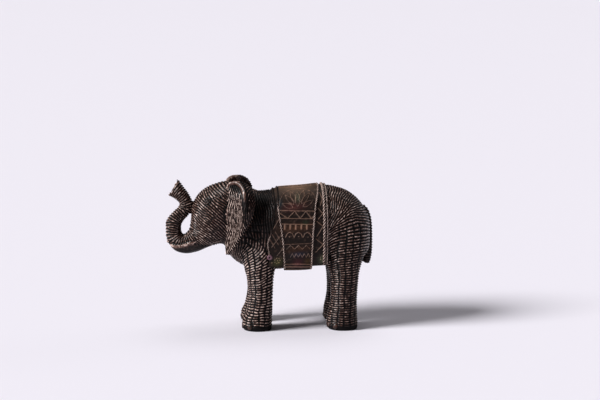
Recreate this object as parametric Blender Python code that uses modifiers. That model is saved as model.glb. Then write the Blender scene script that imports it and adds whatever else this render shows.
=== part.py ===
"""A carved elephant with a raised, curled trunk and a patterned saddle cloth.

The whole figure is one solid that stands on four flat feet. It faces -X and is alike on both sides of
the plane y = 0. Units are metres, +Z is up, and the origin is on the ground under the middle of the figure.
"""
import math

import bmesh
import bpy
import numpy as np
from mathutils import Vector

# The height to the top of the ears. The figure's own form is given below in 145ths of it.
FIGURE_HEIGHT = 0.145
STATIONS_IN_HEIGHT = 145
SHARE = FIGURE_HEIGHT / STATIONS_IN_HEIGHT

# The cloth and what is worked on it
CLOTH_THICKNESS = 0.0011
RUNNER_THICKNESS = 0.0010
ROPE_DIAMETER = 0.0025
CORD_DIAMETER = 0.0016
HEM_WIDTH = 0.0042
HEM_RELIEF = 0.0008
RIDGE_WIDTH = 0.0013
RIDGE_RELIEF = 0.0009
ROOTED = 0.0008
BEAD_DIAMETER = 0.0056
BEAD_HOLE_DIAMETER = 0.0020
BEAD_RELIEF = 0.0018

# How finely the form is cut
SKIN_GRAIN = 1.15 * SHARE
SKIN_SMOOTHING = 3
FACETS_KEPT = 0.032
RING_POINTS = 32
STEPS_BETWEEN_STATIONS = 4

# Roundness of a cross-section: 2 is an ellipse, more is squarer
ROUND = 2.0
BARREL = 2.3
BELLY = 2.9
HANGING = 5.0

# Torso: place along x, height of the back, height of the belly, half width
TORSO = [
    (-40, 131, 74, 22), (-30, 131, 64, 26), (-15, 132, 57, 30), (0, 134, 55, 32), (15, 136.5, 55, 33.5),
    (30, 138.5, 56, 34.5), (45, 140, 57, 35), (58, 137.8, 57, 34.5), (70, 134, 58, 33), (80, 129, 60, 30.5),
    (88, 122, 64, 27), (94, 113.5, 70, 22), (97, 106, 76, 14), (98, 100, 84, 6),
]

# Head, then the trunk down, forward and up to its tip: upper or inner edge x, z, lower or outer edge x, z,
# and half width
HEAD_AND_TRUNK = [
    (-6, 130, -24, 70, 24), (-22, 136.5, -36, 71, 24), (-39.1, 140.9, -43, 80.9, 24.5),
    (-49.7, 138.9, -52.6, 79.5, 24), (-58.4, 135.5, -59.4, 78, 22), (-65.2, 130.2, -62.3, 77, 19.5),
    (-70, 123.8, -64.2, 76.5, 17), (-72.6, 116.5, -66.2, 76, 15), (-73.4, 108.7, -68.1, 75.6, 13),
    (-74.4, 100.9, -70, 75, 11.5), (-75.8, 94.6, -73.4, 74.6, 10), (-78.7, 91.2, -79.2, 74.6, 9),
    (-81.6, 89.4, -85.5, 75.3, 8), (-84, 90.7, -92.4, 79.2, 7.4), (-85.2, 94.1, -97.6, 86.3, 7.1),
    (-85, 98.5, -98.2, 95.1, 6.9), (-83.3, 102.9, -97.6, 103.8, 6.6), (-79.7, 107.2, -91.3, 111.6, 6.3),
    (-76.3, 111.6, -86.5, 116, 6), (-72.9, 118.5, -84.5, 119, 5.5), (-73.9, 124.8, -86, 121.9, 5.7),
    (-77.3, 131.1, -89.8, 125, 6.2), (-81.1, 136, -92.3, 126.6, 6.5), (-84.6, 141.2, -94.6, 127.6, 6.2),
    (-86.9, 144, -96, 128, 4.6),
]
# The open end of the trunk: the same five values for its rim and for the bottom of the hollow
TRUNK_HOLLOW = [(-87.2, 141.4, -94.4, 129.4, 3.2), (-87.6, 136.2, -90.6, 131.4, 2.2)]

# Lower lip: place along x, height of the rim, height of the underside, half width
LIP = [
    (-54, 83, 80, 12.5), (-60, 84, 77, 12.5), (-66, 84.8, 74, 12), (-72, 83.6, 72.3, 11.2),
    (-77.8, 81.6, 71.4, 10.4), (-83.6, 79.6, 72.0, 9.2), (-89.4, 79.2, 74.2, 7.4), (-93.7, 81, 78, 4.9),
]
LIP_TIP = (-96.8, 83.4)
LIP_ROLL = 1.4

# Legs: height, front and back edge along x, half width across
FRONT_LEG = [
    (-6, -25, 1.2, 12.6), (3, -26.5, 1.4, 13.2), (10, -26, 1.2, 12.8), (17, -23.5, 1, 12.4), (30, -20.8, 1, 12.2),
    (40, -20.8, 1.4, 12.3), (50, -21.5, 2, 12.6), (58, -23, 4, 12.9), (70, -25, 8, 13), (85, -26, 9, 12.5),
    (102, -22, 6, 10),
]
HIND_LEG = [
    (-6, 57.2, 84.3, 12.8), (4, 55.5, 84.5, 13.2), (12, 56.5, 83.8, 12.9), (20, 57.5, 83.3, 12.5),
    (30, 57, 83.3, 12.5), (45, 56.5, 84.5, 13), (55, 55.5, 86, 13.6), (64, 54, 89, 14.2), (75, 52, 92, 14.8),
    (88, 52, 94, 14.6), (102, 56, 92, 12),
]
LEG_PLACE_ACROSS = 20

# Ear: height, then the place x, y of its front edge on the head and of its outer edge
EAR = [
    (144, -32.5, 21, -27.5, 25), (141.5, -38, 15, -20.5, 29), (135.5, -40.5, 17, -15.5, 34),
    (127, -40.5, 20, -12.5, 37.5), (117, -40.5, 22.5, -11.5, 39.5), (107, -40, 23.5, -12.5, 39.5),
    (96.5, -41, 24, -16, 38), (87, -42.3, 24, -22, 34.5), (79.5, -42.5, 24, -30, 30), (74.5, -40.5, 25, -37, 26.5),
]
EAR_THICKNESS = 2.9
EAR_DISH = 1.8
EAR_ROLL = 2.4
EAR_ROLL_FROM = 0.78
# The rolled rim over the top of the ear
EAR_RIM = [
    (-40.5, 13, 140.5), (-37, 17.5, 142.8), (-31, 22.5, 143.4), (-24, 27.5, 141.2), (-17.5, 33, 135.5),
    (-13.2, 37, 127.5),
]
EAR_RIM_THICKNESS = 3.0

# Tail: place x, height, half width
TAIL = [(93, 116, 2), (96.4, 112, 2.8), (98.4, 104, 3), (98.8, 92, 2.9), (98.2, 80, 2.8), (97, 71, 3.4),
        (95.8, 65, 4), (94.6, 61.5, 2.2)]
TAIL_DEPTH = 4.4

EYE_PLACE = (-58.6, 20.2, 125)
EYE_SIZE = (3.2, 1.8, 1.5)
EYE_SLANT = math.radians(38)

# Saddle cloth: its front edge at each height (height, place x), its rear edge, and its hems
CLOTH_FRONT_EDGE = [(62, -0.6), (72, -0.4), (86, -2.6), (96, 0.8), (108, 3.4), (120, 4.6), (132, 4.0), (142, 2.4)]
CLOTH_REAR_EDGE = 55.6
CLOTH_FRONT_HEM = 63.4
CLOTH_REAR_HEM = 66
# The runner that lies over the middle of it: its front and rear edge at each height, and its hem
RUNNER_FRONT_EDGE = [(62, 13.8), (86, 12.2), (100, 10.4), (118, 7.6), (142, 8.3)]
RUNNER_REAR_EDGE = [(62, 40.5), (98, 42), (110, 43.2), (121, 44.7), (134, 48.2), (142, 49.6)]
RUNNER_HEM = 61.6
# Cords sewn along the rear edge of the cloth, the thick one first
REAR_ROPE = 51.9
REAR_CORD = 54.7
# Raised lines across the runner, and rows of zigzag: low and high edge, number of peaks
RUNNER_LINES = [117.2, 110.2, 86.6]
RUNNER_ZIGZAGS = [(112, 115.4, 4), (91.6, 96.4, 5), (79.8, 84.4, 5), (72.6, 76.6, 5)]
# Slanting lines on the front panel and chevrons on the rear one: place x and height of each end
FRONT_PANEL_LINES = [((1, 86), (10.6, 98)), ((4.6, 76), (12.8, 86.5))]
REAR_CHEVRONS = [75, 85, 95, 105, 115]
CHEVRON_HEIGHT = 7.5
BEAD_PLACE = (0.2, 72.6)

WOOD_COLOUR = (0.042, 0.026, 0.021, 1)
WOOD_ROUGHNESS = 0.42


def clear_scene():
    for thing in list(bpy.data.objects):
        bpy.data.objects.remove(thing, do_unlink=True)


def collection(name):
    made = bpy.data.collections.new(name)
    bpy.context.scene.collection.children.link(made)
    return made


def stained_wood():
    material = bpy.data.materials.new("stained_wood")
    material.use_nodes = True
    shader = material.node_tree.nodes["Principled BSDF"]
    shader.inputs["Base Color"].default_value = WOOD_COLOUR
    shader.inputs["Roughness"].default_value = WOOD_ROUGHNESS
    shader.inputs["Metallic"].default_value = 0
    return material


def smooth_through(stations, steps=STEPS_BETWEEN_STATIONS):
    """Rows of numbers on a smooth curve that passes through every station."""
    rows = np.array(stations, float)
    padded = np.vstack([2 * rows[0] - rows[1], rows, 2 * rows[-1] - rows[-2]])
    curve = []
    for i in range(1, len(padded) - 2):
        before, start, end, after = padded[i - 1:i + 3]
        for t in np.arange(steps) / steps:
            curve.append(start + 0.5 * t * (end - before + t * (2 * before - 5 * start + 4 * end - after
                         + t * (3 * (start - end) + after - before))))
    curve.append(rows[-1])
    return np.array(curve)


def squared(angle, power):
    """Cosine and sine of a superellipse, which is squarer than an ellipse where power is over 2."""
    across, up = math.cos(angle), math.sin(angle)
    return (math.copysign(abs(across) ** (2 / power), across), math.copysign(abs(up) ** (2 / power), up))


def ring(upper, lower, half_width, place_across=0, upper_power=BARREL, lower_power=BARREL):
    """A cross-section between two points of the plane y = 0, widened to both sides."""
    middle, reach = (upper + lower) / 2, (upper - lower) / 2
    points = []
    for i in range(RING_POINTS):
        angle = 2 * math.pi * i / RING_POINTS
        across, up = squared(angle, upper_power if angle < math.pi else lower_power)
        points.append(middle + reach * up + Vector((0, half_width * across + place_across, 0)))
    return points


def add_shell(mesh, rings):
    """A closed skin through the rings."""
    rows = [[mesh.verts.new(point * SHARE) for point in points] for points in rings]
    count = len(rows[0])
    faces = [mesh.faces.new(rows[0]), mesh.faces.new(rows[-1])]
    for low, high in zip(rows, rows[1:]):
        for i in range(count):
            j = (i + 1) % count
            faces.append(mesh.faces.new((low[i], low[j], high[j], high[i])))
    bmesh.ops.recalc_face_normals(mesh, faces=faces)


def add_egg(mesh, centre, half_sizes, slant=0):
    made = bmesh.ops.create_uvsphere(mesh, u_segments=16, v_segments=10, radius=1)["verts"]
    turned = math.cos(slant), math.sin(slant)
    for vert in made:
        x, y, z = (vert.co[i] * half_sizes[i] for i in range(3))
        vert.co = Vector((x * turned[0] - z * turned[1] + centre[0], y + centre[1],
                          x * turned[1] + z * turned[0] + centre[2])) * SHARE


def add_torso(mesh):
    rings = [ring(Vector((x, 0, top)), Vector((x, 0, bottom)), half, 0, BARREL, BELLY)
             for x, top, bottom, half in smooth_through(TORSO)]
    add_shell(mesh, rings)


def add_head_and_trunk(mesh):
    outside = smooth_through(HEAD_AND_TRUNK)
    rows = np.vstack([outside, np.array(TRUNK_HOLLOW)])
    rings = [ring(Vector((ux, 0, uz)), Vector((lx, 0, lz)), half) for ux, uz, lx, lz, half in rows]
    add_shell(mesh, rings)


def add_lip(mesh):
    rows = smooth_through(LIP)
    bowl = [ring(Vector((x, 0, rim - LIP_ROLL)), Vector((x, 0, under)), half - LIP_ROLL / 2, 0, 8, ROUND)
            for x, rim, under, half in rows]
    add_shell(mesh, bowl)
    side = [Vector((x, -half + LIP_ROLL / 2, rim)) for x, rim, under, half in rows]
    path = side + [Vector((LIP_TIP[0], 0, LIP_TIP[1]))] + [Vector((p.x, -p.y, p.z)) for p in reversed(side)]
    add_tube(mesh, path, [LIP_ROLL] * len(path))


def add_tube(mesh, path, radii, sides=10):
    """A round rod along a path."""
    rings = []
    for i, point in enumerate(path):
        ahead = (path[min(i + 1, len(path) - 1)] - path[max(i - 1, 0)]).normalized()
        flat = ahead.cross(Vector((0, 0, 1)))
        flat = flat.normalized() if flat.length > 0.2 else Vector((0, 1, 0))
        steep = flat.cross(ahead).normalized()
        rings.append([point + radii[i] * (flat * math.cos(2 * math.pi * k / sides)
                                          + steep * math.sin(2 * math.pi * k / sides)) for k in range(sides)])
    add_shell(mesh, rings)


def add_leg(mesh, stations, side):
    rings = [ring(Vector((back, 0, height)), Vector((front, 0, height)), half, side * LEG_PLACE_ACROSS, ROUND, ROUND)
             for height, front, back, half in smooth_through(stations)]
    add_shell(mesh, rings)


def add_ear(mesh, side):
    """A flat leaf that flares from the head, dished in front and rolled back at its outer margin."""
    rings = []
    for height, front_x, front_y, outer_x, outer_y in smooth_through(EAR):
        along = Vector((outer_x - front_x, outer_y - front_y, 0))
        outward = Vector((-along.y, along.x, 0)).normalized()
        points = []
        for i in range(RING_POINTS):
            angle = 2 * math.pi * i / RING_POINTS
            across, thick = squared(angle, 2.6)
            u = 0.5 + 0.5 * across
            dish = -EAR_DISH * math.sin(math.pi * min(u / EAR_ROLL_FROM, 1))
            roll = -EAR_ROLL * max((u - EAR_ROLL_FROM) / (1 - EAR_ROLL_FROM), 0) ** 2
            point = Vector((front_x, front_y, height)) + along * u
            point += outward * (dish + roll + thick * EAR_THICKNESS / 2)
            points.append(Vector((point.x, side * point.y, point.z)))
        rings.append(points)
    add_shell(mesh, rings)
    rim = [Vector((x, side * y, z)) for x, y, z in smooth_through(EAR_RIM)]
    share = np.linspace(0, math.pi, len(rim))
    add_tube(mesh, rim, [EAR_RIM_THICKNESS / 2 * (0.55 + 0.45 * math.sin(s)) for s in share])


def add_tail(mesh):
    rows = smooth_through(TAIL)
    rings = []
    for i, (x, height, half) in enumerate(rows):
        ahead = rows[min(i + 1, len(rows) - 1)] - rows[max(i - 1, 0)]
        out = Vector((-ahead[1], 0, ahead[0])).normalized() * TAIL_DEPTH / 2
        centre = Vector((x - TAIL_DEPTH / 2 + 0.6, 0, height))
        rings.append(ring(centre + out, centre - out, half, 0, ROUND, ROUND))
    add_shell(mesh, rings)


def body_form(place):
    """The elephant without its cloth, alike on both sides, cut flat at the ground."""
    mesh = bmesh.new()
    add_torso(mesh)
    add_head_and_trunk(mesh)
    add_lip(mesh)
    add_tail(mesh)
    for side in (-1, 1):
        add_ear(mesh, side)
        add_egg(mesh, (EYE_PLACE[0], side * EYE_PLACE[1], EYE_PLACE[2]), EYE_SIZE, EYE_SLANT)
        for stations in (FRONT_LEG, HIND_LEG):
            add_leg(mesh, stations, side)
    form = guide("body_form", mesh, place)
    skin = form.modifiers.new("one_skin", "REMESH")
    skin.mode = "VOXEL"
    skin.voxel_size = SKIN_GRAIN
    smooth = form.modifiers.new("smooth", "SMOOTH")
    smooth.factor = 0.5
    smooth.iterations = SKIN_SMOOTHING
    facets = form.modifiers.new("facets", "DECIMATE")
    facets.ratio = FACETS_KEPT
    mirror = form.modifiers.new("both_sides", "MIRROR")
    mirror.use_axis = (False, True, False)
    mirror.use_bisect_axis = (False, True, False)
    mirror.merge_threshold = 0.000001
    mirror.bisect_threshold = 0.000001
    return form


def guide(name, mesh, place):
    """An object that only helps to cut or add to the figure."""
    data = bpy.data.meshes.new(name)
    bmesh.ops.recalc_face_normals(mesh, faces=mesh.faces)
    mesh.to_mesh(data)
    mesh.free()
    thing = bpy.data.objects.new(name, data)
    place.objects.link(thing)
    thing.hide_render = True
    thing.display_type = "WIRE"
    return thing


def ground(place):
    """A block whose top is the ground, to cut the soles flat."""
    mesh = bmesh.new()
    size = 3 * FIGURE_HEIGHT
    bmesh.ops.create_cube(mesh, size=size)
    bmesh.ops.translate(mesh, verts=mesh.verts, vec=(0, 0, -size / 2))
    return guide("ground", mesh, place)


TORSO_CURVE = smooth_through(TORSO, 12)


def hung(x, height, side, rise):
    """The point of the cloth's surface at a place along x and a height, rise metres proud of the torso."""
    top, bottom, half = (np.interp(x, TORSO_CURVE[:, 0], TORSO_CURVE[:, k]) for k in (1, 2, 3))
    middle, reach = (top + bottom) / 2, (top - bottom) / 2
    level = max(-1.0, min(1.0, (height - middle) / reach))
    power = BARREL if level > 0 else HANGING
    angle = math.asin(math.copysign(abs(level) ** (power / 2), level))
    return on_section(x, angle, side, rise)


def on_section(x, angle, side, rise):
    top, bottom, half = (np.interp(x, TORSO_CURVE[:, 0], TORSO_CURVE[:, k]) for k in (1, 2, 3))
    middle, reach = (top + bottom) / 2, (top - bottom) / 2

    def at(turned):
        across, up = squared(turned, BARREL if turned > 0 else HANGING)
        return Vector((x, half * abs(across), middle + reach * up))

    step = 0.02
    along = at(min(angle + step, math.pi / 2)) - at(angle - step)
    outward = Vector((0, along.z, -along.y)).normalized()
    if angle >= math.pi / 2 - step / 2:
        outward = Vector((0, 0, 1))
    point = at(angle) * SHARE + outward * rise
    return Vector((point.x, side * point.y, point.z))


def hem_angle(x, height):
    top, bottom = (np.interp(x, TORSO_CURVE[:, 0], TORSO_CURVE[:, k]) for k in (1, 2))
    level = (height - (top + bottom) / 2) / ((top - bottom) / 2)
    return -math.asin(min(1.0, abs(level) ** (HANGING / 2)))


def edge_at(edge, height):
    return edge if isinstance(edge, (int, float)) else np.interp(height, *zip(*edge))


def height_on(x, angle):
    return on_section(x, angle, 1, 0).z / SHARE


def draped_block(name, front_edge, rear_edge, front_hem, rear_hem, rise, place, columns, half_rows=9):
    """A solid with the outer face of a hung cloth. Its flat underside joins the two hems inside the body."""
    mesh = bmesh.new()
    rings = []
    for i in range(columns + 1):
        share = i / columns
        hem = front_hem + (rear_hem - front_hem) * share
        row = []
        for side in (-1, 1):
            half = []
            for k in range(half_rows + 1):
                lift = k / half_rows
                guess = edge_at(front_edge, hem) * (1 - share) + edge_at(rear_edge, hem) * share
                low = hem_angle(guess, hem)
                angle = low + (math.pi / 2 - low) * lift
                height = height_on(guess, angle)
                x = edge_at(front_edge, height) * (1 - share) + edge_at(rear_edge, height) * share
                half.append(on_section(x, angle, side, rise))
            row.extend(half if side < 0 else list(reversed(half))[1:])
        rings.append([point / SHARE for point in row])
    add_shell(mesh, rings)
    return guide(name, mesh, place)


def add_ridge(mesh, ends, side, base_rise, width=RIDGE_WIDTH, relief=RIDGE_RELIEF, pieces=3, flat=False):
    """A raised line on the cloth, three-sided or flat-topped, through points given as place x and height."""
    rings = []
    path = []
    for start, end in zip(ends, ends[1:]):
        for k in range(pieces):
            path.append(np.array(start) + (np.array(end) - np.array(start)) * k / pieces)
    path.append(np.array(ends[-1]))
    base = [hung(x, z, side, base_rise) for x, z in path]
    crest = [hung(x, z, side, base_rise + relief) for x, z in path]
    foot = [hung(x, z, side, base_rise - ROOTED) for x, z in path]
    for i, point in enumerate(base):
        ahead = (base[min(i + 1, len(base) - 1)] - base[max(i - 1, 0)]).normalized()
        out = (crest[i] - foot[i]).normalized()
        across = ahead.cross(out).normalized() * width / 2
        top = [crest[i] + across * 0.8, crest[i] - across * 0.8] if flat else [crest[i]]
        rings.append([p / SHARE for p in [foot[i] - across, foot[i] + across] + top])
    add_shell(mesh, rings)


def zigzag(front, rear, low, high, peaks):
    count = 2 * peaks
    return [(front + (rear - front) * i / count, high if i % 2 else low) for i in range(count + 1)]


def relief_form(place):
    """The raised lines, zigzags and hems of the cloth, each a closed ridge clear of the next."""
    mesh = bmesh.new()
    inset = 1.25 * ROPE_DIAMETER / SHARE
    over_runner = CLOTH_THICKNESS + RUNNER_THICKNESS
    for side in (-1, 1):
        for height in RUNNER_LINES:
            front, rear = edge_at(RUNNER_FRONT_EDGE, height) + inset, edge_at(RUNNER_REAR_EDGE, height) - inset
            add_ridge(mesh, [(front, height), (rear, height)], side, over_runner)
        for low, high, peaks in RUNNER_ZIGZAGS:
            front, rear = edge_at(RUNNER_FRONT_EDGE, low) + inset, edge_at(RUNNER_REAR_EDGE, high) - inset
            add_ridge(mesh, zigzag(front, rear, low, high, peaks), side, over_runner, pieces=1)
        for ends in FRONT_PANEL_LINES:
            add_ridge(mesh, ends, side, CLOTH_THICKNESS, pieces=2)
        for height in REAR_CHEVRONS:
            front = edge_at(RUNNER_REAR_EDGE, height) + inset
            rear = REAR_ROPE - inset
            if rear - front > inset:
                ends = [(rear, height + CHEVRON_HEIGHT / 2), (front, height), (rear, height - CHEVRON_HEIGHT / 2)]
                add_ridge(mesh, ends, side, CLOTH_THICKNESS, pieces=1)
        hem = HEM_WIDTH / SHARE
        height = RUNNER_HEM + hem / 2
        front, rear = edge_at(RUNNER_FRONT_EDGE, height) + inset, edge_at(RUNNER_REAR_EDGE, height) - inset
        add_ridge(mesh, [(front, height), (rear, height)], side, over_runner, HEM_WIDTH, HEM_RELIEF, flat=True)
    return guide("relief_form", mesh, place)


def rope_form(name, edge, hem, rise, diameter, place, from_edge):
    """A rope over the back from hem to hem, a third of it sunk: its side is on the edge, or its middle with 0."""
    inset = from_edge * diameter / 2 / SHARE
    low = hem_angle(edge_at(edge, hem), hem)
    angles = np.linspace(low, math.pi / 2, 8)
    half = []
    for angle in angles:
        guess = edge_at(edge, 100)
        x = edge_at(edge, height_on(guess, angle)) + inset
        half.append(on_section(x, angle, -1, rise + diameter / 6) / SHARE)
    path = half + [Vector((p.x, -p.y, p.z)) for p in reversed(half[:-1])]
    mesh = bmesh.new()
    add_tube(mesh, path, [diameter / 2 / SHARE] * len(path), 6)
    return guide(name, mesh, place)


def bead_form(place):
    """A ring-shaped bead at the front corner of the cloth, on both sides."""
    mesh = bmesh.new()
    for side in (-1, 1):
        centre = hung(*BEAD_PLACE, side, CLOTH_THICKNESS)
        outer = bmesh.ops.create_cone(mesh, cap_ends=True, segments=14, radius1=BEAD_DIAMETER / 2,
                                      radius2=BEAD_DIAMETER / 2.8, depth=2 * BEAD_RELIEF)["verts"]
        for vert in outer:
            vert.co = Vector((vert.co.x, side * vert.co.z, vert.co.y)) + centre
    return guide("bead_form", mesh, place)


def bead_hole_form(place):
    mesh = bmesh.new()
    for side in (-1, 1):
        centre = hung(*BEAD_PLACE, side, CLOTH_THICKNESS + BEAD_RELIEF)
        drilled = bmesh.ops.create_cone(mesh, cap_ends=True, segments=8, radius1=BEAD_HOLE_DIAMETER / 2,
                                        radius2=BEAD_HOLE_DIAMETER / 2, depth=1.6 * BEAD_RELIEF)["verts"]
        for vert in drilled:
            vert.co = Vector((vert.co.x, side * vert.co.z, vert.co.y)) + centre
    return guide("bead_hole_form", mesh, place)


def evaluated_mesh(thing, name):
    bpy.context.view_layer.update()
    return bpy.data.meshes.new_from_object(thing.evaluated_get(bpy.context.evaluated_depsgraph_get()))


def combine(figure, forms, operation):
    boolean = figure.modifiers.new(forms.name, "BOOLEAN")
    boolean.operation = operation
    boolean.solver = "EXACT"
    boolean.operand_type = "COLLECTION"
    boolean.collection = forms


def stand_on_origin(mesh):
    """Moves the mesh so that its box stands on the origin."""
    corners = np.array([vert.co[:] for vert in mesh.vertices])
    low, high = corners.min(axis=0), corners.max(axis=0)
    shift = Vector(((low[0] + high[0]) / 2, (low[1] + high[1]) / 2, low[2]))
    for vert in mesh.vertices:
        vert.co -= shift


def build():
    clear_scene()
    figures = collection("elephant")
    carving, raised, cut = collection("carving"), collection("raised_forms"), collection("cutters")
    body = body_form(carving)
    over_runner = CLOTH_THICKNESS + RUNNER_THICKNESS
    draped_block("cloth_form", CLOTH_FRONT_EDGE, CLOTH_REAR_EDGE, CLOTH_FRONT_HEM, CLOTH_REAR_HEM,
                 CLOTH_THICKNESS, raised, 7)
    draped_block("runner_form", RUNNER_FRONT_EDGE, RUNNER_REAR_EDGE, RUNNER_HEM, RUNNER_HEM, over_runner, raised, 5)
    relief_form(raised)
    on_border = CLOTH_THICKNESS + RUNNER_THICKNESS / 2
    rope_form("front_rope", CLOTH_FRONT_EDGE, CLOTH_FRONT_HEM, CLOTH_THICKNESS, CORD_DIAMETER, raised, 1)
    rope_form("runner_front_rope", RUNNER_FRONT_EDGE, RUNNER_HEM, on_border, ROPE_DIAMETER, raised, 1)
    rope_form("runner_rear_rope", RUNNER_REAR_EDGE, RUNNER_HEM, on_border, ROPE_DIAMETER, raised, -1)
    rope_form("rear_rope", REAR_ROPE, CLOTH_REAR_HEM, CLOTH_THICKNESS, ROPE_DIAMETER, raised, 0)
    rope_form("rear_cord", REAR_CORD, CLOTH_REAR_HEM, CLOTH_THICKNESS, CORD_DIAMETER, raised, 0)
    bead_form(raised)
    bead_hole_form(cut)
    ground(cut)

    figure = bpy.data.objects.new("elephant_rough", evaluated_mesh(body, "elephant_rough"))
    figures.objects.link(figure)
    combine(figure, raised, "UNION")
    combine(figure, cut, "DIFFERENCE")
    finished = evaluated_mesh(figure, "elephant")
    bpy.data.objects.remove(figure, do_unlink=True)
    stand_on_origin(finished)
    elephant = bpy.data.objects.new("elephant", finished)
    figures.objects.link(elephant)
    finished.materials.clear()
    finished.materials.append(stained_wood())
    finished.shade_smooth()
    finished.set_sharp_from_angle(angle=math.radians(40))


build()
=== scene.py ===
"""A carved elephant with a raised, curled trunk: ribbed skin, smooth lip and nails, a worked saddle cloth.

The whole figure is one carving, so every section below finishes a part of the same solid. Lengths called
"in 145ths" are shares of the figure's height, as the carving's proportions are.
"""

import math

import bmesh
import bpy
import numpy as np
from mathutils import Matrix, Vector, noise
from mathutils.kdtree import KDTree


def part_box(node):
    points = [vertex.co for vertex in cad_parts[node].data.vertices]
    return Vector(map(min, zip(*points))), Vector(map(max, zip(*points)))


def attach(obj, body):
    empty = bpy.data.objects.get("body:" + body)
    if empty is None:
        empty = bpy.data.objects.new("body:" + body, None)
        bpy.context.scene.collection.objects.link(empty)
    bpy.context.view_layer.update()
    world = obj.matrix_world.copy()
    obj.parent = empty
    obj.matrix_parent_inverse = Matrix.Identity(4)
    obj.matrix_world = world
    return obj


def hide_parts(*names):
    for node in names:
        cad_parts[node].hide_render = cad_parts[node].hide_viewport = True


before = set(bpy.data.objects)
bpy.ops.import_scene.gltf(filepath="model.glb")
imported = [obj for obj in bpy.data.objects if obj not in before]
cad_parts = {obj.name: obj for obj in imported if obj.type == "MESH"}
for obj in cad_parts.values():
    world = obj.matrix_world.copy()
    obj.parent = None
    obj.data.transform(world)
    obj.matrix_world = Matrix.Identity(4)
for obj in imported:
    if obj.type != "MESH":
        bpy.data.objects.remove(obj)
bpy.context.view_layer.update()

# Barrel of the body
# The trunk of the animal from the neck to the rump, rounder above than below. It is the block that all else
# is carved out of, so its closed skin goes in first. Places along x, back, belly and half width in 145ths.
low_corner, high_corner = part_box("elephant")
TOP_OF_EARS = 144.55
UNIT = (high_corner.z - low_corner.z) / TOP_OF_EARS
MM = 0.001
BARREL_STATIONS = [
    (-40, 131, 74, 22), (-30, 131, 64, 26), (-15, 130.8, 57, 30), (0, 132.2, 56, 32), (15, 133.4, 57.5, 33.5),
    (30, 134.4, 58.8, 34.5), (45, 135.8, 60.5, 35), (58, 136.4, 60.5, 34.5), (70, 133.8, 60, 33),
    (80, 129, 61, 30.5), (88, 122, 64, 27), (94, 113.5, 70, 22), (97, 106, 76, 14), (98, 100, 84, 6),
]
ELLIPSE, BACK_SQUARENESS, BELLY_SQUARENESS = 2.0, 2.3, 2.9
RING_POINTS = 48
# Where ribs lie level: on the rump, and on the thigh below some height. Where they lean forward: the forebody
RUMP_LEVEL, THIGH_LEVEL, THIGH_HEIGHTS, FORE_LEAN, FORE_LENGTH = (58, 86), (48, 60), (96, 116), 0.25, (0, 25)
REGIONS = ["barrel", "head", "ears", "ear_margins", "ear_backs", "ear_rims", "front_legs", "hind_legs",
           "tail", "lip"]
blank = bmesh.new()
guides = {"place": [], "run": [], "region": [], "hold": []}


def smooth_through(stations, steps=6):
    """Rows of numbers on a smooth curve that passes through every station."""
    rows = np.array(stations, float)
    padded = np.vstack([2 * rows[0] - rows[1], rows, 2 * rows[-1] - rows[-2]])
    curve = []
    for i in range(1, len(padded) - 2):
        before, start, end, after = padded[i - 1:i + 3]
        for t in np.arange(steps) / steps:
            bend = 2 * before - 5 * start + 4 * end - after + t * (3 * (start - end) + after - before)
            curve.append(start + 0.5 * t * (end - before + t * bend))
    curve.append(rows[-1])
    return np.array(curve)


def smooth_step(value, start, end):
    share = np.clip((value - start) / (end - start), 0, 1)
    return share * share * (3 - 2 * share)


def squared(angle, power):
    """Cosine and sine of a superellipse, which is squarer than an ellipse where power is over 2."""
    across, up = math.cos(angle), math.sin(angle)
    return math.copysign(abs(across) ** (2 / power), across), math.copysign(abs(up) ** (2 / power), up)


def round_steps(count):
    """Angles that go once round in equal steps."""
    return [2 * math.pi * i / count for i in range(count)]


def ring(upper, lower, half_width, across=0.0, upper_power=BACK_SQUARENESS, lower_power=BACK_SQUARENESS):
    """A cross-section between two points of the middle plane, widened to both sides."""
    middle, reach = (upper + lower) / 2, (upper - lower) / 2
    points = []
    for angle in round_steps(RING_POINTS):
        side, up = squared(angle, upper_power if angle < math.pi else lower_power)
        points.append(middle + reach * up + Vector((0, half_width * side + across, 0)))
    return points


def add_skin(rings, region, run_at, hold=0.005):
    """Adds a closed skin through the rings, and notes which way its ribs follow one another there."""
    rows = [[blank.verts.new(point * UNIT) for point in points] for points in rings]
    count = len(rows[0])
    faces = [blank.faces.new(rows[0]), blank.faces.new(rows[-1])]
    for near, far in zip(rows, rows[1:]):
        for i in range(count):
            j = (i + 1) % count
            faces.append(blank.faces.new((near[i], near[j], far[j], far[i])))
    bmesh.ops.recalc_face_normals(blank, faces=faces)
    for i, points in enumerate(rings):
        for k, point in enumerate(points):
            guides["place"].append(point * UNIT)
            guides["run"].append(run_at(i, k, point))
            guides["region"].append(REGIONS.index(region(k) if callable(region) else region))
            guides["hold"].append(hold(i) if callable(hold) else hold)


def barrel_run(i, k, point):
    """Upright ribs that lean over and lie level as they come round the rump and down the thigh."""
    on_thigh = smooth_step(point.x, *THIGH_LEVEL) * (1 - smooth_step(point.z, *THIGH_HEIGHTS))
    level = max(smooth_step(point.x, *RUMP_LEVEL), on_thigh)
    forward = FORE_LEAN * (1 - smooth_step(point.x, *FORE_LENGTH))
    return Vector((1 - level, 0, forward - level)).normalized()


add_skin([ring(Vector((x, 0, back)), Vector((x, 0, belly)), half, 0, BACK_SQUARENESS, BELLY_SQUARENESS)
          for x, back, belly, half in smooth_through(BARREL_STATIONS)], "barrel", barrel_run)

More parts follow.
